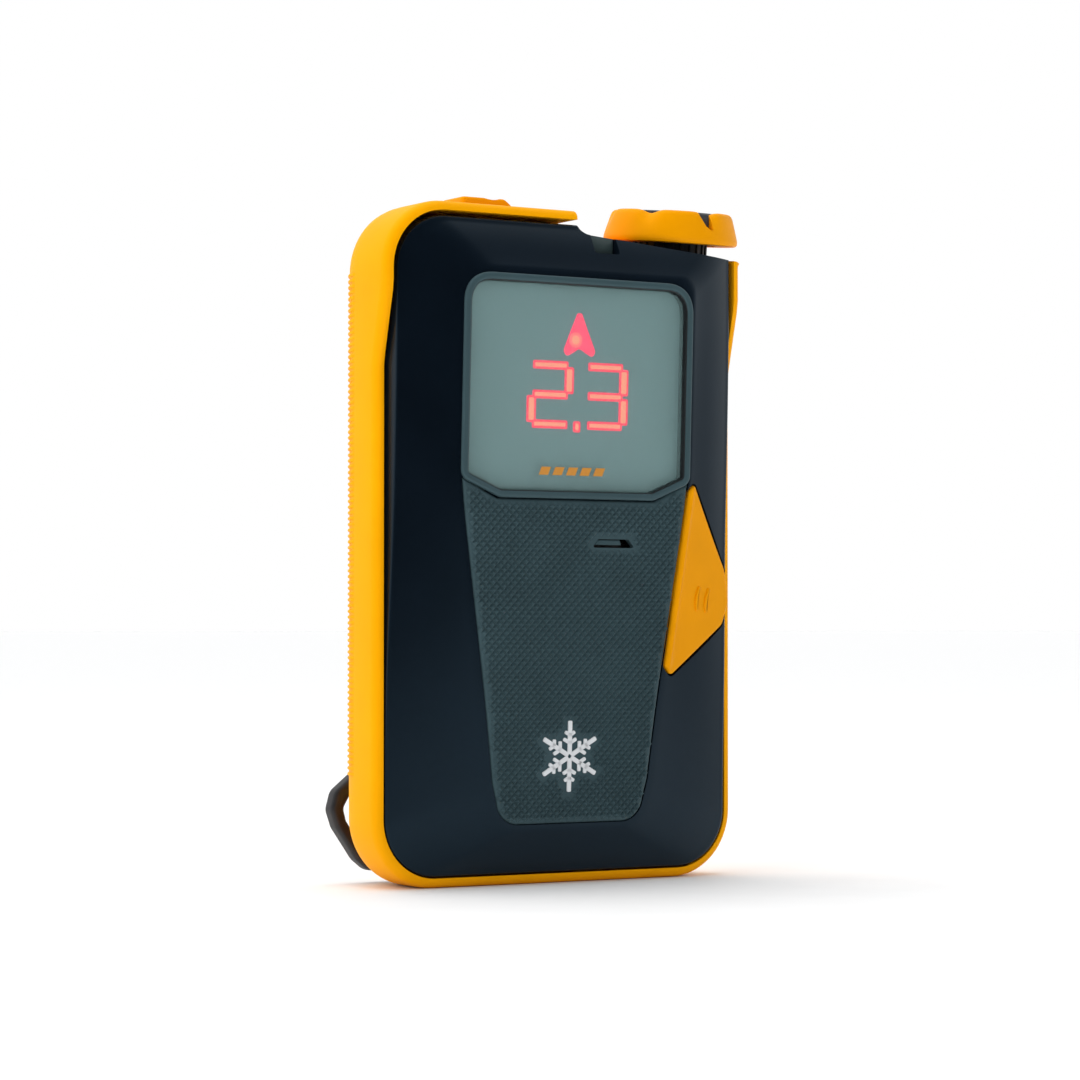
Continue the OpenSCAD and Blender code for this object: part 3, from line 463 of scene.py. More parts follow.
def lens_outline(grow=0.0):
    points = [(-LENS_FOOT_HALF, LENS_Z[0], 1.2), (LENS_FOOT_HALF, LENS_Z[0], 1.2),
              (LENS_HALF, LENS_SIDE_Z, 1.0), (LENS_HALF, LENS_Z[1], LENS_R + 1.4),
              (-LENS_HALF, LENS_Z[1], LENS_R + 1.4), (-LENS_HALF, LENS_SIDE_Z, 1.0)]
    return grown(rounded_polygon(points, 1.0, 10), grow)


PAD_HALVES = ((10.6, 15.2), (21, 16.4), (32, 17.8), (63, 22.5), (69.9, 23.4), (106, 23.6))


def pad_half(z):
    """Half width of the raised face up its height, with its bends eased over a few millimetres."""
    zs, hs = zip(*PAD_HALVES)
    return float(np.mean([np.interp(z + d, zs, hs) for d in (-3, -1.5, 0, 1.5, 3)]))


def pad_outline(grow=0.0):
    """Outline of the grip pad, with a notch at its top that follows the bezel."""
    rim = RIM_W + 0.12
    foot = arc(PAD_HALVES[0][1] - PAD_FOOT_R, PAD_Z[0] + PAD_FOOT_R, PAD_FOOT_R, -90, -6, 10)
    sides = [(pad_half(z), z) for z in np.linspace(18, 69.3, 18)]
    notch = [(LENS_HALF + rim - 0.35, LENS_SIDE_Z - 0.55 * rim),
             (LENS_FOOT_HALF + 0.4 * rim, LENS_Z[0] - rim)]
    right = foot + sides + notch
    return grown(right + [(-x, z) for x, z in reversed(right)], grow)


def ring_piece(name, outline_of, section):
    """Frame with one closed section, given as pairs of growth and height, run round an outline."""
    rings = [[(x, y, z) for x, y in outline_of(grow)] for grow, z in section]
    verts = [p for ring in rings for p in ring]
    return add_mesh(name, verts, wrapped_faces(len(rings), len(rings[0])))


def wear(obj, body, slot, mat, *nodes):
    """Gives a finished piece its material and body, and hides the CAD nodes that it stands for. The slot
    argument is not used.
    """
    obj.data.materials.clear()
    obj.data.materials.append(mat)
    for polygon in obj.data.polygons:
        polygon.material_index = 0
    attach(obj, body)
    if nodes:
        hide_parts(*nodes)
    return obj


# ---- rear shell ----

BACK_ANGLES = [0, 8, 16, 24, 32, 40, 48, 55, 62, 68, 74, 79, 84, 90]


def back_depths():
    """Depths of the rings round the back, closer together where it turns flat."""
    return [SIDE_CURVE_Y + (BACK_Y - SIDE_CURVE_Y) * math.sin(math.radians(a)) for a in BACK_ANGLES]


def shell_solid():
    """The shell's outside, filled."""
    lip = [(x, rim_y(z) - RIM_DEEP, z)
           for x, z in outline_xz(HALF_W - LIP_IN, LIP_IN, BODY_H - LIP_IN, CORNER_R - LIP_IN)]
    return loft("shell_body", [lip] + [rim_ring(a) for a in (0, 18, 36, 54, 72, 90)]
                + [body_ring(y) for y in back_depths()])


def shell_hollow():
    """Tool for the shell's inside, open to the front."""
    rings = [[(x, y - WALL * 0.8 * (y - SIDE_CURVE_Y) / (BACK_Y - SIDE_CURVE_Y), z)
              for x, _, z in body_ring(y, WALL - 0.2)] for y in back_depths()[:-1]]
    return loft("hollow", [[(x, -16.0, z) for x, _, z in rings[0]]] + rings)


def button_outline(grow, r):
    """The options button's rectangle seen from above, grown all round."""
    x0, x1 = BUTTON_X[0] - grow, BUTTON_X[1] + grow
    y0, y1 = BUTTON_Y[0] - grow, BUTTON_Y[1] + grow
    return rounded_polygon([(x0, y0), (x1, y0), (x1, y1), (x0, y1)], r)


def pocket_tools():
    """Tools that make room for the trigger and for the barrel of its hinge."""
    well = place(slab("well", trigger_outline(0.38), -1.0, 9.0), TRIGGER @ UPRIGHT)
    channel = place(block("channel", (-2.1, 0.5, -11.4), (1.9, 1.8, 11.4)), TRIGGER)
    return [well, channel]


def knob_shoulder():
    """Flare of the shell's side out to the knob's width."""
    profile = ((HALF_W - KNOB_AT[0] - 0.7, -SHOULDER_H), (10.6, -8.0), (12.2, -3.2), (SHOULDER_R, -0.4),
               (SHOULDER_R, 0.4))
    cone = place(loft("cone", [[(x, y, z) for x, y in arc(0, 0, r, 0, 355, 71)] for r, z in profile]), KNOB)
    reach = block("reach", (KNOB_AT[0] - 2, -8.8, 90), (KNOB_AT[0] + 18, 12.2, 120))
    return combine(cone, [reach], "INTERSECT")


def hatch_tools():
    """Tools for the door's recess and hinge trough, the opening to the cells and the insert's hole."""
    wide = DOOR_HALF + DOOR_GAP
    recess = block("recess", (-wide, BACK_Y - RECESS_DEEP, DOOR_Z[0]), (wide, 30, DOOR_Z[1] + DOOR_GAP))
    trough = place(cylinder("trough", HINGE_R + DOOR_GAP, -wide, wide), HINGE)
    relief = block("relief", (-wide, HINGE_Y, DOOR_Z[0] - 2.2), (wide, 30, DOOR_Z[0] + 0.1))
    opening = block("opening", (-OPENING_HALF, -2, OPENING_Z[0]), (OPENING_HALF, 30, OPENING_Z[1]))
    insert_hole = y_rod("insert_hole", 0, SCREW_Z, INSERT_HOLE_R, 6.1, 20)
    return [recess, trough, relief, opening, insert_hole]


def rear_shell():
    shell = combine(shell_solid(), [knob_shoulder()], "UNION")
    hatch = block("hatch", (-24, 9.9, 6.8), (24, 16, DOOR_Z[1] + 3))
    shelf = combine(shelf_block(), [block("behind", (-60, -3.3, 60), (60, 30, 140))], "INTERSECT")
    boss = y_rod("boss", 0, SCREW_Z, 3.5, 5.4, 20)
    hollow = combine(shell_hollow(), [hatch, shelf, boss, ball("guard", SCOOP_AT, SCOOP_R + 1.6)])
    combine(shell, [hollow])
    button_hole = slab("button_hole", button_outline(BUTTON_GAP, 1.1), 110, 130)
    bores = [y_rod("bore", x, z, CASE_BORE_R, CASE_BORE_Y, 20) for x, z in CASE_SCREWS]
    shaft_hole = place(cylinder("shaft_hole", SHAFT_HOLE_R, -12, 8), KNOB)
    combine(shell, [*hatch_tools(), button_hole, shaft_hole, *bores, ball("scoop", SCOOP_AT, SCOOP_R),
                    *above_shelf(), *pocket_tools()])
    smooth(shell, 34)
    return wear(shell, "housing", "shell_yellow", YELLOW, "rear_shell")


RIB_PITCH, RIB_H, RIB_Z, RIB_Y = 1.0, 0.3, (19.5, 106.0), (1.0, 11.6)
# Ribs above this height stop short of the upper case screw, and the right side has none under the knob.
RIB_SHORT_Z, RIB_SHORT_Y, RIB_RIGHT_TOP = 101.0, 9.0, 97
RIB_SECTION = ((-0.34, -0.12), (-0.24, 0.62), (-0.1, 0.96), (0.1, 0.96), (0.24, 0.62), (0.34, -0.12))


def side_grip(side):
    """Fine level ribs moulded on one side, following it round to the back."""
    verts, faces = [], []
    steps = 16
    for k in range(int((RIB_Z[1] - RIB_Z[0]) / RIB_PITCH) + 1):
        z = RIB_Z[0] + k * RIB_PITCH
        reach = RIB_Y[1] if z < RIB_SHORT_Z else RIB_SHORT_Y
        corner = max(0.0, z - (BODY_H - CORNER_R))
        narrow = CORNER_R - math.sqrt(CORNER_R ** 2 - corner ** 2)
        if side > 0 and z > RIB_RIGHT_TOP:
            continue
        start = len(verts)
        n = len(RIB_SECTION)
        for i in range(steps + 1):
            y = RIB_Y[0] + (reach - RIB_Y[0]) * i / steps
            t = (y - SIDE_CURVE_Y) / (BACK_Y - SIDE_CURVE_Y)
            x = HALF_W - curve_in(y, SIDE_CURVE_Y, SIDE_CURVE_IN) - narrow
            slope = SIDE_CURVE_IN * t / math.sqrt(1 - t * t) / (BACK_Y - SIDE_CURVE_Y)
            nx, ny = 1 / math.hypot(1, slope), slope / math.hypot(1, slope)
            fade = min(1.0, i / 1.5, (steps - i) / 2.5)
            for dz, h in RIB_SECTION:
                out = h * RIB_H * fade - 0.06 * (1 - fade) - 0.02
                verts.append((side * min(HALF_W - 0.01, x + nx * out), y + ny * out, z + dz))
        for i in range(steps):
            for j in range(n):
                q = (j + 1) % n
                faces.append((start + i * n + j, start + i * n + q,
                              start + (i + 1) * n + q, start + (i + 1) * n + j))
        faces.append(tuple(range(start, start + n)))
        faces.append(tuple(range(start + steps * n + n - 1, start + steps * n - 1, -1)))
    name = "side_grip_left" if side < 0 else "side_grip_right"
    return wear(add_mesh(name, verts, faces, 50), "housing", "shell_yellow", YELLOW)


# ---- front cover ----


def edge_y(z):
    """Depth of the face's outer edge, which comes forward up the cover."""
    return -6.75 - 2.95 * ease((z - 8) / 97)


def edge_half(z):
    """Half width of the face's outer edge, a little less up the cover."""
    return 35.05 - 0.55 * ease((z - 32) / 35)


def plate_y(z):
    """Depth of the tilted face plane."""
    return FACE_Y - math.tan(FACE_TILT) * z


PLATEAU_MIDDLE = 60


def plateau_point(x, z):
    """Point on the edge of the raised plateau that belongs to a point of the cover's outline."""
    v = (z - COVER_Z[0]) / (COVER_Z[1] - COVER_Z[0])
    height = PAD_Z[0] - 1 + v * (FACE_TOP + 1.6 - PAD_Z[0])
    return x / SKIRT_HALF * (pad_half(height) + 0.3), height


def cover_ring(t, inset=0.0, deep=0.0, shrink=0.0):
    """Ring of the crowned face: t from 0 at its outer edge to 1 at the raised plateau."""
    ring = []
    for x, z in outline_xz(SKIRT_HALF, COVER_Z[0], COVER_Z[1], COVER_R):
        ex, ez = x * (edge_half(z) - inset) / SKIRT_HALF, z
        middle = (COVER_Z[0] + COVER_Z[1]) / 2
        ez = middle + (z - middle) * (1 - 2 * inset / (COVER_Z[1] - COVER_Z[0]))
        px, pz = plateau_point(x, z)
        px, pz = px * (1 - shrink), PLATEAU_MIDDLE + (pz - PLATEAU_MIDDLE) * (1 - shrink)
        ya, yb = edge_y(ez) + deep, plate_y(pz) + PAD_PROUD + deep
        bulge = t + 0.10 * math.sin(math.pi * t) * (1 - t)
        ring.append((ex + (px - ex) * t, ya + (yb - ya) * bulge, ez + (pz - ez) * t))
    return ring


def skirt_ring(inset, y):
    """Ring of the cover's skirt, which sits inside the rim."""
    return [(x, y, z) for x, z in outline_xz(SKIRT_HALF - inset, COVER_Z[0] + inset + 0.2,
                                             COVER_Z[1] - inset - 0.2, COVER_R - inset)]


EDGE_R, COVER_T = 0.7, 2.0
WINDOW_Z = (110.4, 116)
FLANK_STEPS = [0.06, 0.15, 0.25, 0.36, 0.48, 0.6, 0.72, 0.83, 0.92, 1.0]


def edge_rounding():
    """Rings that turn from the cover's side to its flank."""
    rings = []
    for a in (0, 22, 45, 68, 90):
        inset = EDGE_R * (1 - math.cos(math.radians(a)))
        deep = EDGE_R * (1 - math.sin(math.radians(a)))
        rings.append(cover_ring(0.0, inset, deep))
    return rings


def cover_outer_rings():
    """Rings of the cover's outside, from its skirt round the edge and up the flank to the plateau."""
    rings = [skirt_ring(0, SKIRT_Y), skirt_ring(0, -5.9)] + edge_rounding()
    rings += [cover_ring(t, EDGE_R) for t in FLANK_STEPS]
    return rings + [cover_ring(1.0, EDGE_R, shrink=0.03)]


def window_outline(grow, r):
    """The status window from the front. Its top runs on past the shelf."""
    low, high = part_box("status_window")
    x0, x1 = low[0] / MM - grow, high[0] / MM + grow
    return rounded_polygon([(x0, WINDOW_Z[0] - grow), (x1, WINDOW_Z[0] - grow), (x1, WINDOW_Z[1]),
                            (x0, WINDOW_Z[1])], r)


def front_cover():
    cover = loft("cover_shell", cover_outer_rings())
    inner = [skirt_ring(COVER_T, SKIRT_Y + 1.0)]
    inner += [[(x, y + COVER_T, z) for x, y, z in cover_ring(t, COVER_T)] for t in (0.0, 0.3, 0.6, 1.0)]
    bed = place(slab("bed", trigger_outline(1.5), -2.8, 9.0), TRIGGER @ UPRIGHT)
    window_seat = block("window_seat", (2.5, -12, 106), (10.6, 0, 116))
    combine(cover, [combine(loft("hollow", inner), [bed, shelf_block(), window_seat])])
    hole = place(slab("hole", lens_outline(RIM_W + 0.03), -12, 5), FACE)
    bed_cut = place(slab("bed_cut", pad_outline(0.06), -PAD_T, 5), FACE)
    slot_cut = place(slab("slot_cut", grown(rounded_polygon(SLOT, 0.3), 0.1), -12, 5), FACE)
    window = place(slab("window", window_outline(0.05, 0.6), 7.6, 20), UPRIGHT)
    combine(cover, [hole, bed_cut, slot_cut, window, *above_shelf(), *pocket_tools()])
    smooth(cover, 30)
    return wear(cover, "housing", "cover_black", COVER_BLACK, "front_cover")


def status_window():
    pane = place(slab("status_pane", window_outline(0, 0.5), 7.7, 9.85, edge=0.25), UPRIGHT)
    combine(pane, above_shelf())
    return wear(pane, "housing", "window_smoke", WINDOW, "status_window")


# ---- pad, bezel and display ----

STUD_PITCH, STUD_R, STUD_TOP, STUD_H = 1.46, 0.66, 0.2, 0.42
PAD_TOP = -0.42
MARK_AT, MARK_R, MARK_H = (-0.6, 22.3), 6.6, 0.3


def inside(point, polygon_points):
    """Whether a point lies inside a polygon, by counting the edges to its right."""
    x, y = point
    odd = False
    for i, (x1, y1) in enumerate(polygon_points):
        x0, y0 = polygon_points[i - 1]
        if (y1 > y) != (y0 > y) and x < (x0 - x1) * (y - y1) / (y0 - y1) + x1:
            odd = not odd
    return odd


def pocket_on_face(grow):
    """Outline of the trigger's pocket, seen square to the pad."""
    back = FACE.inverted() @ TRIGGER
    points = [back @ Vector((x * MM, TRIGGER_Y[0] * MM, z * MM)) for x, z in trigger_outline(grow)]
    return [(p.x / MM, p.y / MM) for p in points]


def crystal_bars():
    """Outlines of the arms and twigs of a plain snow crystal, about its own centre."""
    bars = []
    for k in range(6):
        arm = turn(60 * k + 30, "Z")
        bars.append((arm, [(0.35, -0.4), (MARK_R - 0.4, -0.4), (MARK_R - 0.4, 0.4), (0.35, 0.4)]))
        for at, reach in ((2.3, 1.5), (3.7, 1.15)):
            for side in (-1, 1):
                bars.append((arm @ move(at, 0, 0) @ turn(60 * side, "Z"),
                             [(0, -0.32), (reach, -0.32), (reach, 0.32), (0, 0.32)]))
    return bars


def crystal_clearing():
    """Outlines round the crystal's bars that the studs keep out of."""
    areas = []
    for matrix, outline in crystal_bars():
        around = [matrix @ Vector((x * MM, y * MM, 0)) for x, y in grown(outline, 0.75)]
        areas.append([(p.x / MM + MARK_AT[0], p.y / MM + MARK_AT[1]) for p in around])
    return areas


def knurl():
    """Staggered rows of flat-topped pyramids over the whole pad."""
    field = pad_outline(-0.7)
    keep_off = [grown(rounded_polygon(SLOT, 0.3), 0.9), pocket_on_face(0.9), *crystal_clearing()]
    verts, faces = [], []
    half = STUD_PITCH / 2
    for row in range(int((FACE_TOP - PAD_Z[0]) / half)):
        z = PAD_Z[0] + 0.4 + row * half
        for column in range(-18, 19):
            x = column * STUD_PITCH + (half if row % 2 else 0.0)
            if not inside((x, z), field) or any(inside((x, z), area) for area in keep_off):
                continue
            start = len(verts)
            for r, h in ((STUD_R, PAD_TOP - 0.05), (STUD_R, PAD_TOP), (STUD_TOP, PAD_TOP + STUD_H)):
                verts += [(x + r, z, h), (x, z + r, h), (x - r, z, h), (x, z - r, h)]
            for level in (0, 4):
                for k in range(4):
                    a, b = start + level + k, start + level + (k + 1) % 4
                    faces.append((a, b, b + 4, a + 4))
            faces.append((start + 3, start + 2, start + 1, start))
            faces.append((start + 8, start + 9, start + 10, start + 11))
    return place(add_mesh("pad_knurl", verts, faces, 10), FACE)


def grip_pad():
    """Rubber pad with its knurl, its speaker slot and the bar across the slot."""
    base = place(slab("pad_base", resampled(pad_outline(), 2.0), -PAD_T, PAD_TOP, edge=0.7, steps=5), FACE)
    slot_cut = place(slab("slot_cut", rounded_polygon(SLOT, 0.35), -5, 5), FACE)
    combine(base, [slot_cut, *pocket_tools()])
    smooth(base, 40)
    wear(base, "housing", "pad_rubber", PAD_RUBBER, "grip_pad")
    wear(knurl(), "housing", "pad_rubber", PAD_RUBBER)
    bar = place(slab("slot_bar", [(4.1, 59.15), (9.6, 59.15), (9.3, 60.1), (4.6, 60.1)], -PAD_T, -0.8,
                     edge=0.2), FACE)
    wear(bar, "housing", "pad_rubber", BEZEL_GREY)


def mark():
    """Plain six-armed snow crystal where the pad carries a print."""
    parts = [place(slab("bar", rounded_polygon(outline, 0.25), 0, MARK_H, edge=0.06), matrix)
             for matrix, outline in crystal_bars()]
    crystal = place(joined("pad_mark", parts), FACE @ move(*MARK_AT, PAD_TOP - 0.02))
    return wear(crystal, "housing", "pad_rubber", MARK_GREY)


def bezel():
    """Rounded rim round the glass."""
    section = [(RIM_W, -LENS_DEPTH - LENS_T - 0.8), (RIM_W, -0.42), (RIM_W - 0.05, -0.22),
               (RIM_W - 0.17, -0.07), (RIM_W - 0.36, 0.0), (0.42, 0.0), (0.22, -0.06), (0.1, -0.2),
               (0.05, -0.42), (0.05, -LENS_DEPTH - LENS_T - 0.8)]
    rim = place(ring_piece("bezel_rim", lens_outline, section), FACE)
    return wear(rim, "housing", "pad_rubber", BEZEL_GREY, "display_bezel")


def lens_wall_shade():
    """Thin black sheet on the bezel's inner wall, round the edge of the glass: painted shade for the shadow
    inside the recess.
    """
    section = [(0.045, -LENS_DEPTH - LENS_T), (0.045, -0.28), (-0.06, -0.34), (-0.06, -LENS_DEPTH - LENS_T)]
    wall_shade_sheet = place(ring_piece("lens_wall_shade", lens_outline, section), FACE)
    wear(wall_shade_sheet, "housing", "trim_black", TRIM_BLACK)


def lens():
    """Smoked glass, set back in the bezel."""
    pane = place(slab("lens_pane", lens_outline(-0.09), -LENS_DEPTH - LENS_T, -LENS_DEPTH, edge=0.3),
                 FACE)
    return wear(pane, "housing", "lens_smoke", LENS, "display_lens")


def display_plate():
    """Front plate of the light box, which the lens shows in grey-green."""
    plate = place(slab("display_plate", lens_outline(-0.02), -LENS_DEPTH - LENS_T - 0.75,
                       -LENS_DEPTH - LENS_T - 0.22), FACE)
    return wear(plate, "housing", "display_dark", DISPLAY_BACK)


BAR_W, DIGIT_W, DIGIT_H, DIGIT_FOOT = 1.9, 9.6, 12.2, 79.1
DIGIT_X = (-9.5, 1.9)
BARS = ((0.5, 1.0, 0), (1, 0.75, 90), (1, 0.25, 90), (0.5, 0, 0), (0, 0.25, 90), (0, 0.75, 90), (0.5, 0.5, 0))
LIT = ((0, 1, 6, 4, 3), (0, 1, 6, 2, 3))
LED_Z = -LENS_DEPTH - LENS_T - 0.24


def bar_shape(length, width):
    h = width / 2
    ends = ((-1, -1), (1, -1), (1, 1), (-1, 1))
    return rounded_polygon([(x * length / 2, y * h) for x, y in ends], h * 0.45, 4)


def digits(name, thin, z0, z1, mat, *nodes):
    """Lit bars of the reading 2.3, thinner for the bright core than for the coloured edge."""
    parts = []
    w, h = DIGIT_W - BAR_W, DIGIT_H - BAR_W
    for x0, lit in zip(DIGIT_X, LIT):
        for i in lit:
            fx, fy, angle = BARS[i]
            length = (w if angle == 0 else h / 2) - 0.45 - thin
            bar = slab("bar", bar_shape(length, BAR_W * (0.8 if angle == 0 else 1.0) - thin), z0, z1)
            parts.append(place(bar, move(x0 + BAR_W / 2 + fx * w, DIGIT_FOOT + BAR_W / 2 + fy * h, 0)
                               @ turn(angle, "Z")))
    parts.append(place(slab("dot", bar_shape(1.5 - thin, BAR_W + 0.1 - thin), z0, z1),
                       move(0.9, DIGIT_FOOT + 0.65, 0)))
    out = place(joined(name, parts), FACE)
    return wear(out, "housing", "led_red", mat, *nodes)


ARROW = ((0.6, 99.6, 0.4), (1.5, 99.6, 0.4), (2.8, 96.6, 2.0), (4.5, 92.9, 0.8), (3.8, 92.0, 0.6),
         (2.4, 92.7, 0.5), (1.1, 93.5, 1.2), (-0.1, 92.7, 0.5), (-1.4, 92.0, 0.6), (-2.2, 92.9, 0.8),
         (-0.7, 96.6, 2.0))


def arrow():
    outline = rounded_polygon(list(reversed(ARROW)), 0.5)
    body = place(slab("arrow_light", outline, LED_Z, LED_Z + 0.14, edge=0.04), FACE)
    wear(body, "housing", "led_red", LED_ARROW, "direction_arrow")
    for name, r, top, mat in (("arrow_glow", 1.35, 0.15, LED_GLOW), ("arrow_core", 0.8, 0.16, LED_CORE)):
        spot = place(slab(name, arc(0.3, 94.9, r, 0, 345, 23), LED_Z + 0.1, LED_Z + top), FACE)
        wear(spot, "housing", "led_red", mat)


DASH_X, DASH_Z, DASH_W, DASH_LEAN = (-7.6, -4.8, -2.0, 0.8, 3.6), (71.2, 72.6), 1.9, 0.6


def dashes():
    """Row of plain slanted dashes printed at the foot of the glass."""
    low, high = DASH_Z
    across = ((0, low), (DASH_W, low), (DASH_W + DASH_LEAN, high), (DASH_LEAN, high))
    parts = [slab("dash", [(x + dx, z) for dx, z in across], 0.01, 0.05) for x in DASH_X]
    wear(place(joined("lens_dashes", parts), FACE @ move(0, 0, -LENS_DEPTH)), "housing", "lens_smoke", AMBER)


# ---- knob ----

VALLEYS = [math.radians(-146 + 60 * k) for k in range(6)]
# Turns a shape drawn at the knob's front round to its deep notch.
TO_NOTCH = turn(1, "Z")
KNOB_PROFILE = ((3.02, 5.4), (7.9, 5.4), (7.9, 2.1), (8.3, 1.6), (11.7, 1.6), (12.0, 1.7), (12.2, 2.0),
                (12.2, 2.6), (12.05, 3.2), (11.75, 4.4), (11.45, 5.6), (11.2, 6.5), (10.95, 7.0), (10.6, 7.3),
                (10.2, 7.4), (9.75, 7.37), (9.5, 7.3), (9.42, 7.15), (9.4, 6.6), (3.02, 6.6))


def mode_knob():
    """Yellow rim with a shallow valley at each grip and one deep notch."""
    segments = 192
    verts = []
    for i in range(segments):
        a = 2 * math.pi * i / segments
        away = min(abs((a - v + math.pi) % (2 * math.pi) - math.pi) for v in VALLEYS)
        dip = math.exp(-(away / math.radians(8.5)) ** 2)
        for r, z in KNOB_PROFILE:
            high = ease((z - 3.4) / 3.6)
            outer = ease((r - 9.0) / 2.0)
            rr = r - 0.6 * dip * high * outer
            zz = z - 0.7 * dip * ease((z - 5.4) / 2.0) * ease((r - 9.0) / 0.4)
            verts.append((rr * math.cos(a), rr * math.sin(a), zz))
    knob = add_mesh("knob_body", verts, wrapped_faces(segments, len(KNOB_PROFILE)), 34)
    blade = rounded_polygon([(-1.75, 8.9, 0.2), (-1.5, 6.8, 1.6), (-0.3, 4.85, 0.6), (0.75, 4.05, 0.25),
                             (1.25, 4.2, 0.3), (1.1, 6.9, 0.8), (1.35, 8.9, 0.2)], 0.3)
    cutter = place(slab("blade", blade, 8.9, 14.0), TO_NOTCH @ UPRIGHT)
    combine(knob, [cutter])
    smooth(knob, 34)
    place(knob, KNOB)
    return wear(knob, "knob", "button_yellow", YELLOW_DEEP, "mode_knob")


def knob_insert():
    """Dark disc in the knob's top, with a pointer and the wedge that shows in the deep notch."""
    profile = [(0.01, 6.62), (9.32, 6.62), (9.32, 7.1), (9.1, 7.27), (8.6, 7.3), (7.9, 7.15), (5.0, 7.1),
               (4.6, 6.9), (0.01, 6.85)]
    disc = lathe("insert_disc", profile, 96)
    pointer = rounded_polygon([(-0.5, -8.4), (0.5, -8.4), (0.9, -5.4), (-0.9, -5.4)], 0.3)
    pointer = place(slab("pointer", pointer, 6.9, 7.32, edge=0.15), TO_NOTCH)
    out = place(joined("insert_disc", [disc, pointer]), KNOB)
    wear(out, "knob", "insert_grey", INSERT_GREY, "knob_insert")
    wedge = place(slab("notch_blade", rounded_polygon([(-1.5, 6.65), (-1.2, 5.9), (0.7, 4.5), (1.2, 4.5),
                                                      (1.05, 7.0), (-1.5, 7.0)], 0.2), 8.9, 10.25, edge=0.2),
                  KNOB @ TO_NOTCH @ UPRIGHT)
    wear(wedge, "knob", "insert_grey", INSERT_GREY)


def knob_collar():
    ring = lathe("collar_ring", [(3.06, -1.2), (6.5, -1.2), (6.5, 4.2), (6.3, 4.4), (3.06, 4.4)], 96)
    ribs = [place(slab("rib", rounded_polygon([(6.3, -0.32), (6.78, -0.26), (6.78, 0.26), (6.3, 0.32)], 0.1),
                       -1.2, 4.1, edge=0.1), turn(15 * k, "Z")) for k in range(24)]
    out = place(joined("collar_ring", [ring] + ribs), KNOB)
    return wear(out, "housing", "trim_black", TRIM_BLACK, "knob_collar")


# ---- trigger ----


def trigger_height(x, y, z):
    """Front face of the trigger: a raised rail along its left edge, and a swell that follows the cover."""
    rail = 0.38 * math.exp(-((x + 1.15) / 0.55) ** 2)
    swell = 0.05 * max(0.0, x) * (1 - y / 18) - 0.05
    return z + (rail + swell) * ease((z - TRIGGER_LOW) / 1.2)


TRIGGER_LOW, TRIGGER_HIGH = 1.2, 2.95


def search_trigger():
    """Kite-shaped plate with two finger ridges, and the knuckles that its pin runs through."""
    outline = resampled(trigger_outline(), 0.8)
    centre = (4.2, 0.0)
    rings = [[(x, y, TRIGGER_LOW) for x, y in outline], [(x, y, 2.2) for x, y in outline]]
    edge = 0.5
    for a in (0, 22, 45, 68, 90):
        inset = edge * (1 - math.cos(math.radians(a)))
        z = TRIGGER_HIGH - edge * (1 - math.sin(math.radians(a)))
        rings.append([(x, y, z) for x, y in grown(outline, -inset)])
    last = rings[-1]
    for k in (0.96, 0.92, 0.88, 0.84, 0.8, 0.74, 0.66, 0.55, 0.42, 0.28, 0.14):
        rings.append([(centre[0] + (x - centre[0]) * k, centre[1] + (y - centre[1]) * k, TRIGGER_HIGH)
                      for x, y, _ in last])
    shaped = [[(x, y, trigger_height(x, y, z)) for x, y, z in ring] for ring in rings]
    plate = loft("trigger_plate", shaped, crease_deg=50)
    parts = [place(plate, UPRIGHT)]
    for x in (4.3, 6.9):
        outer = arc(x + 4.4, -2.6, 5.2, 154, 206, 12)
        inner = arc(x + 4.4, -2.6, 4.5, 206, 154, 12)
        parts.append(place(slab("ridge", rounded_polygon(outer + inner, 0.2), 2.4,
                                trigger_height(x, 0, TRIGGER_HIGH) + 0.32, edge=0.2), UPRIGHT))
    for z in (3, -9):
        parts.append(lathe("knuckle", [(0.8, z), (1.25, z), (1.25, z + 6), (0.8, z + 6)], 48))
    trigger = place(joined("trigger_plate", parts, 50), TRIGGER)
    return wear(trigger, "trigger", "button_yellow", YELLOW_DEEP, "search_trigger")


# ---- button, loop, door ----


def options_button():
    """Yellow cap with a shallow finger hollow and a ramp, on a flange that holds it in."""
    top = BODY_H + BUTTON_UP
    cap = slab("button_cap", resampled(button_outline(0, 1.0), 1.2), BUTTON_LOW, top, edge=0.5, steps=5)
    ramp = place(block("ramp", (-4, -20, 0), (20, 20, 10)),
                 move(BUTTON_X[1] - 1.9, 0, top - 0.3) @ turn(38, "Y"))
    scoop = place(place(cylinder("scoop", 5.2, -3.6, 20, 96), turn(90, "X")),
                  move(BUTTON_X[1] - 4.6, BUTTON_Y[0] + 3.6, top + 4.9))
    combine(cap, [ramp, scoop])
    smooth(cap, 28)
    flange = slab("flange", button_outline(1, 1.0), *FLANGE_Z)
    out = joined("button_cap", [cap, flange], 28)
    return wear(out, "button", "button_yellow", YELLOW_DEEP, "options_button")


LOOP_OUTER = ((-27.0, 21.4, 0), (-31.6, 19.2, 2), (-35.4, 16.2, 2.5), (-36.3, 12.9, 2.5),
              (-35.2, 9.8, 3), (-31.2, 4.1, 4), (-28.8, 2.2, 3), (-22.5, 1.7, 0))
LOOP_INNER = ((-22.5, 4.7, 0), (-28.0, 5.1, 2), (-30.5, 7.2, 2), (-33.1, 11.0, 2), (-33.7, 13.2, 1.5),
              (-32.4, 15.4, 1.5), (-27.0, 18.5, 0))


def leash_loop():
    """Black bar across the lower corner, which a leash is tied round."""
    outline = resampled(rounded_polygon(LOOP_OUTER + LOOP_INNER, 1.0, 8), 0.8)
    bar = place(slab("loop_bar", outline, -BACK_Y, -10.2, edge=0.9, low_edge=0.9, steps=5), UPRIGHT)
    return wear(bar, "housing", "trim_black", TRIM_BLACK, "leash_loop")


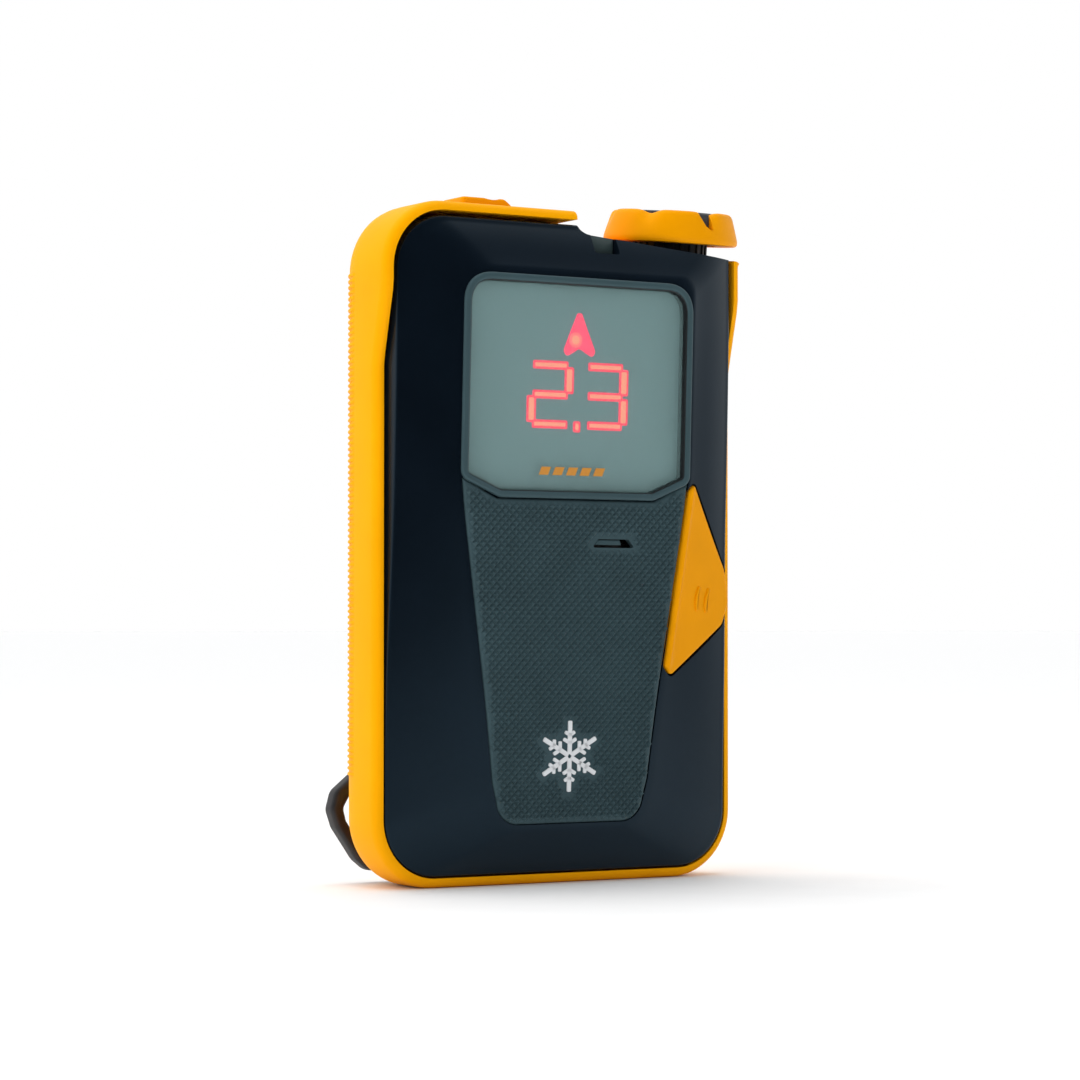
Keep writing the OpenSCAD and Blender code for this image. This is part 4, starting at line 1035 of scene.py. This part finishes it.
def battery_door():
    """Flat door with a hinge barrel at its foot, a thumb hollow, grip grooves and the screw's seat."""
    outline = rounded_polygon([(-DOOR_HALF, DOOR_Z[0], 0), (DOOR_HALF, DOOR_Z[0], 0),
                               (DOOR_HALF, DOOR_Z[1], 2.0), (-DOOR_HALF, DOOR_Z[1], 2.0)], 1.0)
    plate = place(slab("door_plate", resampled(outline, 2.5), -BACK_Y, -BACK_Y + DOOR_T, low_edge=0.45,
                       steps=4), UPRIGHT)
    barrel = place(cylinder("barrel", HINGE_R, -DOOR_HALF, DOOR_HALF), HINGE)
    combine(plate, [barrel], "UNION")
    thumb = place(ball("thumb", (0, 0, 0), 16), move(0, BACK_Y + 15.2, 51))
    grooves = [place(slab("groove", rounded_polygon([(-15, z), (15, z), (15, z + 1.0), (-15, z + 1.0)], 0.45),
                          -BACK_Y - 1, -BACK_Y + 0.45), UPRIGHT) for z in (18, 21, 24, 27, 30)]
    seat = y_rod("seat", 0, SCREW_Z, 2.75, BACK_Y - 1.1, 20)
    hole = y_rod("hole", 0, SCREW_Z, 1.35, 5, 20)
    bore = place(cylinder("bore", 0.81, -DOOR_HALF - 1, DOOR_HALF + 1), HINGE)
    combine(plate, [thumb, seat, hole, bore, *grooves])
    smooth(plate, 30)
    return wear(plate, "door", "door_grey", DOOR_GREY, "battery_door")


# ---- pieces kept as the CAD made them ----

CAD_FINISHES = (
    (SEAL, ("case_gasket", "door_gasket", "knob_oring")),
    (STEEL, ("case_screws", "door_screw", "door_hinge_pin", "trigger_pin", "trigger_spring", "button_spring",
             "knob_clip", "board_screws", "knob_shaft")),
    (CONTACT, ("spring_contacts", "flat_contacts")),
    (BRASS, ("door_insert",)),
    (MAGNET, ("knob_magnet", "trigger_magnet")),
    (TRAY, ("battery_tray", "antenna_clips", "button_switch")),
    (CELL, ("battery_1", "battery_2", "battery_3")),
    (BOARD, ("circuit_board",)),
    (CHIP, ("processor", "sensor_chips", "board_parts", "speaker")),
    (DISPLAY_BACK, ("display_module",)),
    (MESH_GREY, ("speaker_mesh",)),
    (FERRITE, ("long_antenna_core", "cross_antenna_core", "short_antenna_core")),
    (COPPER, ("long_antenna_coil", "cross_antenna_coil", "short_antenna_coil")),
    (CLEAR, ("status_led",)),
)

for finish, nodes in CAD_FINISHES:
    for node in nodes:
        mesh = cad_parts[node].data
        if not mesh.materials:
            mesh.materials.append(finish)
        for i in range(len(mesh.materials)):
            mesh.materials[i] = finish

rear_shell()
side_grip(-1)
side_grip(1)
front_cover()
status_window()
grip_pad()
mark()
bezel()
# Painted shade: a black sheet on the bezel's inner wall stands in for the shadow in the recess.
lens_wall_shade()
lens()
display_plate()
digits("digit_edges", 0.0, LED_Z, LED_Z + 0.12, LED_EDGE, "digit_segments")
digits("digit_cores", 0.85, LED_Z + 0.1, LED_Z + 0.18, LED_CORE)
arrow()
dashes()
mode_knob()
knob_insert()
knob_collar()
search_trigger()
options_button()
leash_loop()
battery_door()

# ---- floor, light and camera ----


def floor():
    """Plain pale floor. Only its near part shows in glossy surfaces, as a table top would."""
    near, far = 0.3, 40.0
    corners = [(-1, -1), (1, -1), (1, 1), (-1, 1)]
    verts = [(x * near, y * near, 0) for x, y in corners] + [(x * far, y * far, 0) for x, y in corners]
    paint = material("floor_paint", (0.86, 0.86, 0.86), 0.7, tint=0.01, specular=0.2)
    frame_faces = [(k, k + 4, (k + 1) % 4 + 4, (k + 1) % 4) for k in range(4)]
    for name, faces in (("floor_near", [(0, 1, 2, 3)]), ("floor_far", frame_faces)):
        mesh = bpy.data.meshes.new(name)
        mesh.from_pydata(verts, [], faces)
        obj = bpy.data.objects.new(name, mesh)
        bpy.context.scene.collection.objects.link(obj)
        mesh.materials.append(paint)
        obj.visible_glossy = name == "floor_near"


def area_light(name, at, aim, size, power):
    """Soft rectangle of light, which doesn't show in glossy surfaces."""
    data = bpy.data.lights.new(name, "AREA")
    data.shape = "RECTANGLE"
    data.size, data.size_y = size
    data.energy = power
    lamp = bpy.data.objects.new(name, data)
    lamp.location = at
    lamp.rotation_euler = (Vector(aim) - Vector(at)).to_track_quat("-Z", "Y").to_euler()
    lamp.visible_glossy = False
    bpy.context.scene.collection.objects.link(lamp)


def overhead():
    """Wide soft light from above, which also keeps the whole floor even."""
    data = bpy.data.lights.new("overhead", "SUN")
    data.energy = 1.6
    data.angle = math.radians(60)
    lamp = bpy.data.objects.new("overhead", data)
    lamp.rotation_euler = (math.radians(-12), math.radians(-10), 0)
    lamp.visible_glossy = False
    bpy.context.scene.collection.objects.link(lamp)


def sky():
    """Soft white surroundings that fall off towards the front left."""
    world = bpy.data.worlds.new("studio")
    bpy.context.scene.world = world
    world.use_nodes = True
    nodes, links = world.node_tree.nodes, world.node_tree.links
    back = nodes["Background"]
    coordinate = nodes.new("ShaderNodeTexCoord")
    dot = nodes.new("ShaderNodeVectorMath")
    dot.operation = "DOT_PRODUCT"
    dot.inputs[1].default_value = (-0.26, -0.96, 0.1)
    links.new(coordinate.outputs["Generated"], dot.inputs[0])
    ramp = nodes.new("ShaderNodeValToRGB")
    stops = ramp.color_ramp.elements
    stops[0].position, stops[0].color = 0.02, (1.0, 1.0, 1.0, 1)
    stops[1].position, stops[1].color = 0.85, (0.008, 0.009, 0.012, 1)
    middle = stops.new(0.5)
    middle.color = (0.16, 0.18, 0.20, 1)
    links.new(dot.outputs["Value"], ramp.inputs["Fac"])
    links.new(ramp.outputs["Color"], back.inputs["Color"])
    back.inputs["Strength"].default_value = 1.0


def camera():
    """View from 32 degrees to the object's left, from a little below its middle."""
    data = bpy.data.cameras.new("camera")
    data.lens, data.sensor_width = 110.0, 36.0
    view = bpy.data.objects.new("camera", data)
    yaw, pitch = math.radians(32), math.radians(1.53)
    view.location = (-0.585 * math.sin(yaw), -0.585 * math.cos(yaw), 0.0446)
    view.rotation_euler = (math.pi / 2 + pitch, 0, -yaw)
    bpy.context.scene.collection.objects.link(view)
    bpy.context.scene.camera = view


floor()
sky()
area_light("key_left", (-1.0, -0.3, 0.5), (0, 0, 0.06), (0.6, 0.8), 4.5)
area_light("fill_front", (0.1, -1.1, 0.5), (0, 0, 0.06), (0.8, 0.6), 2.9)
overhead()
camera()
bpy.context.scene.view_settings.view_transform = "Standard"
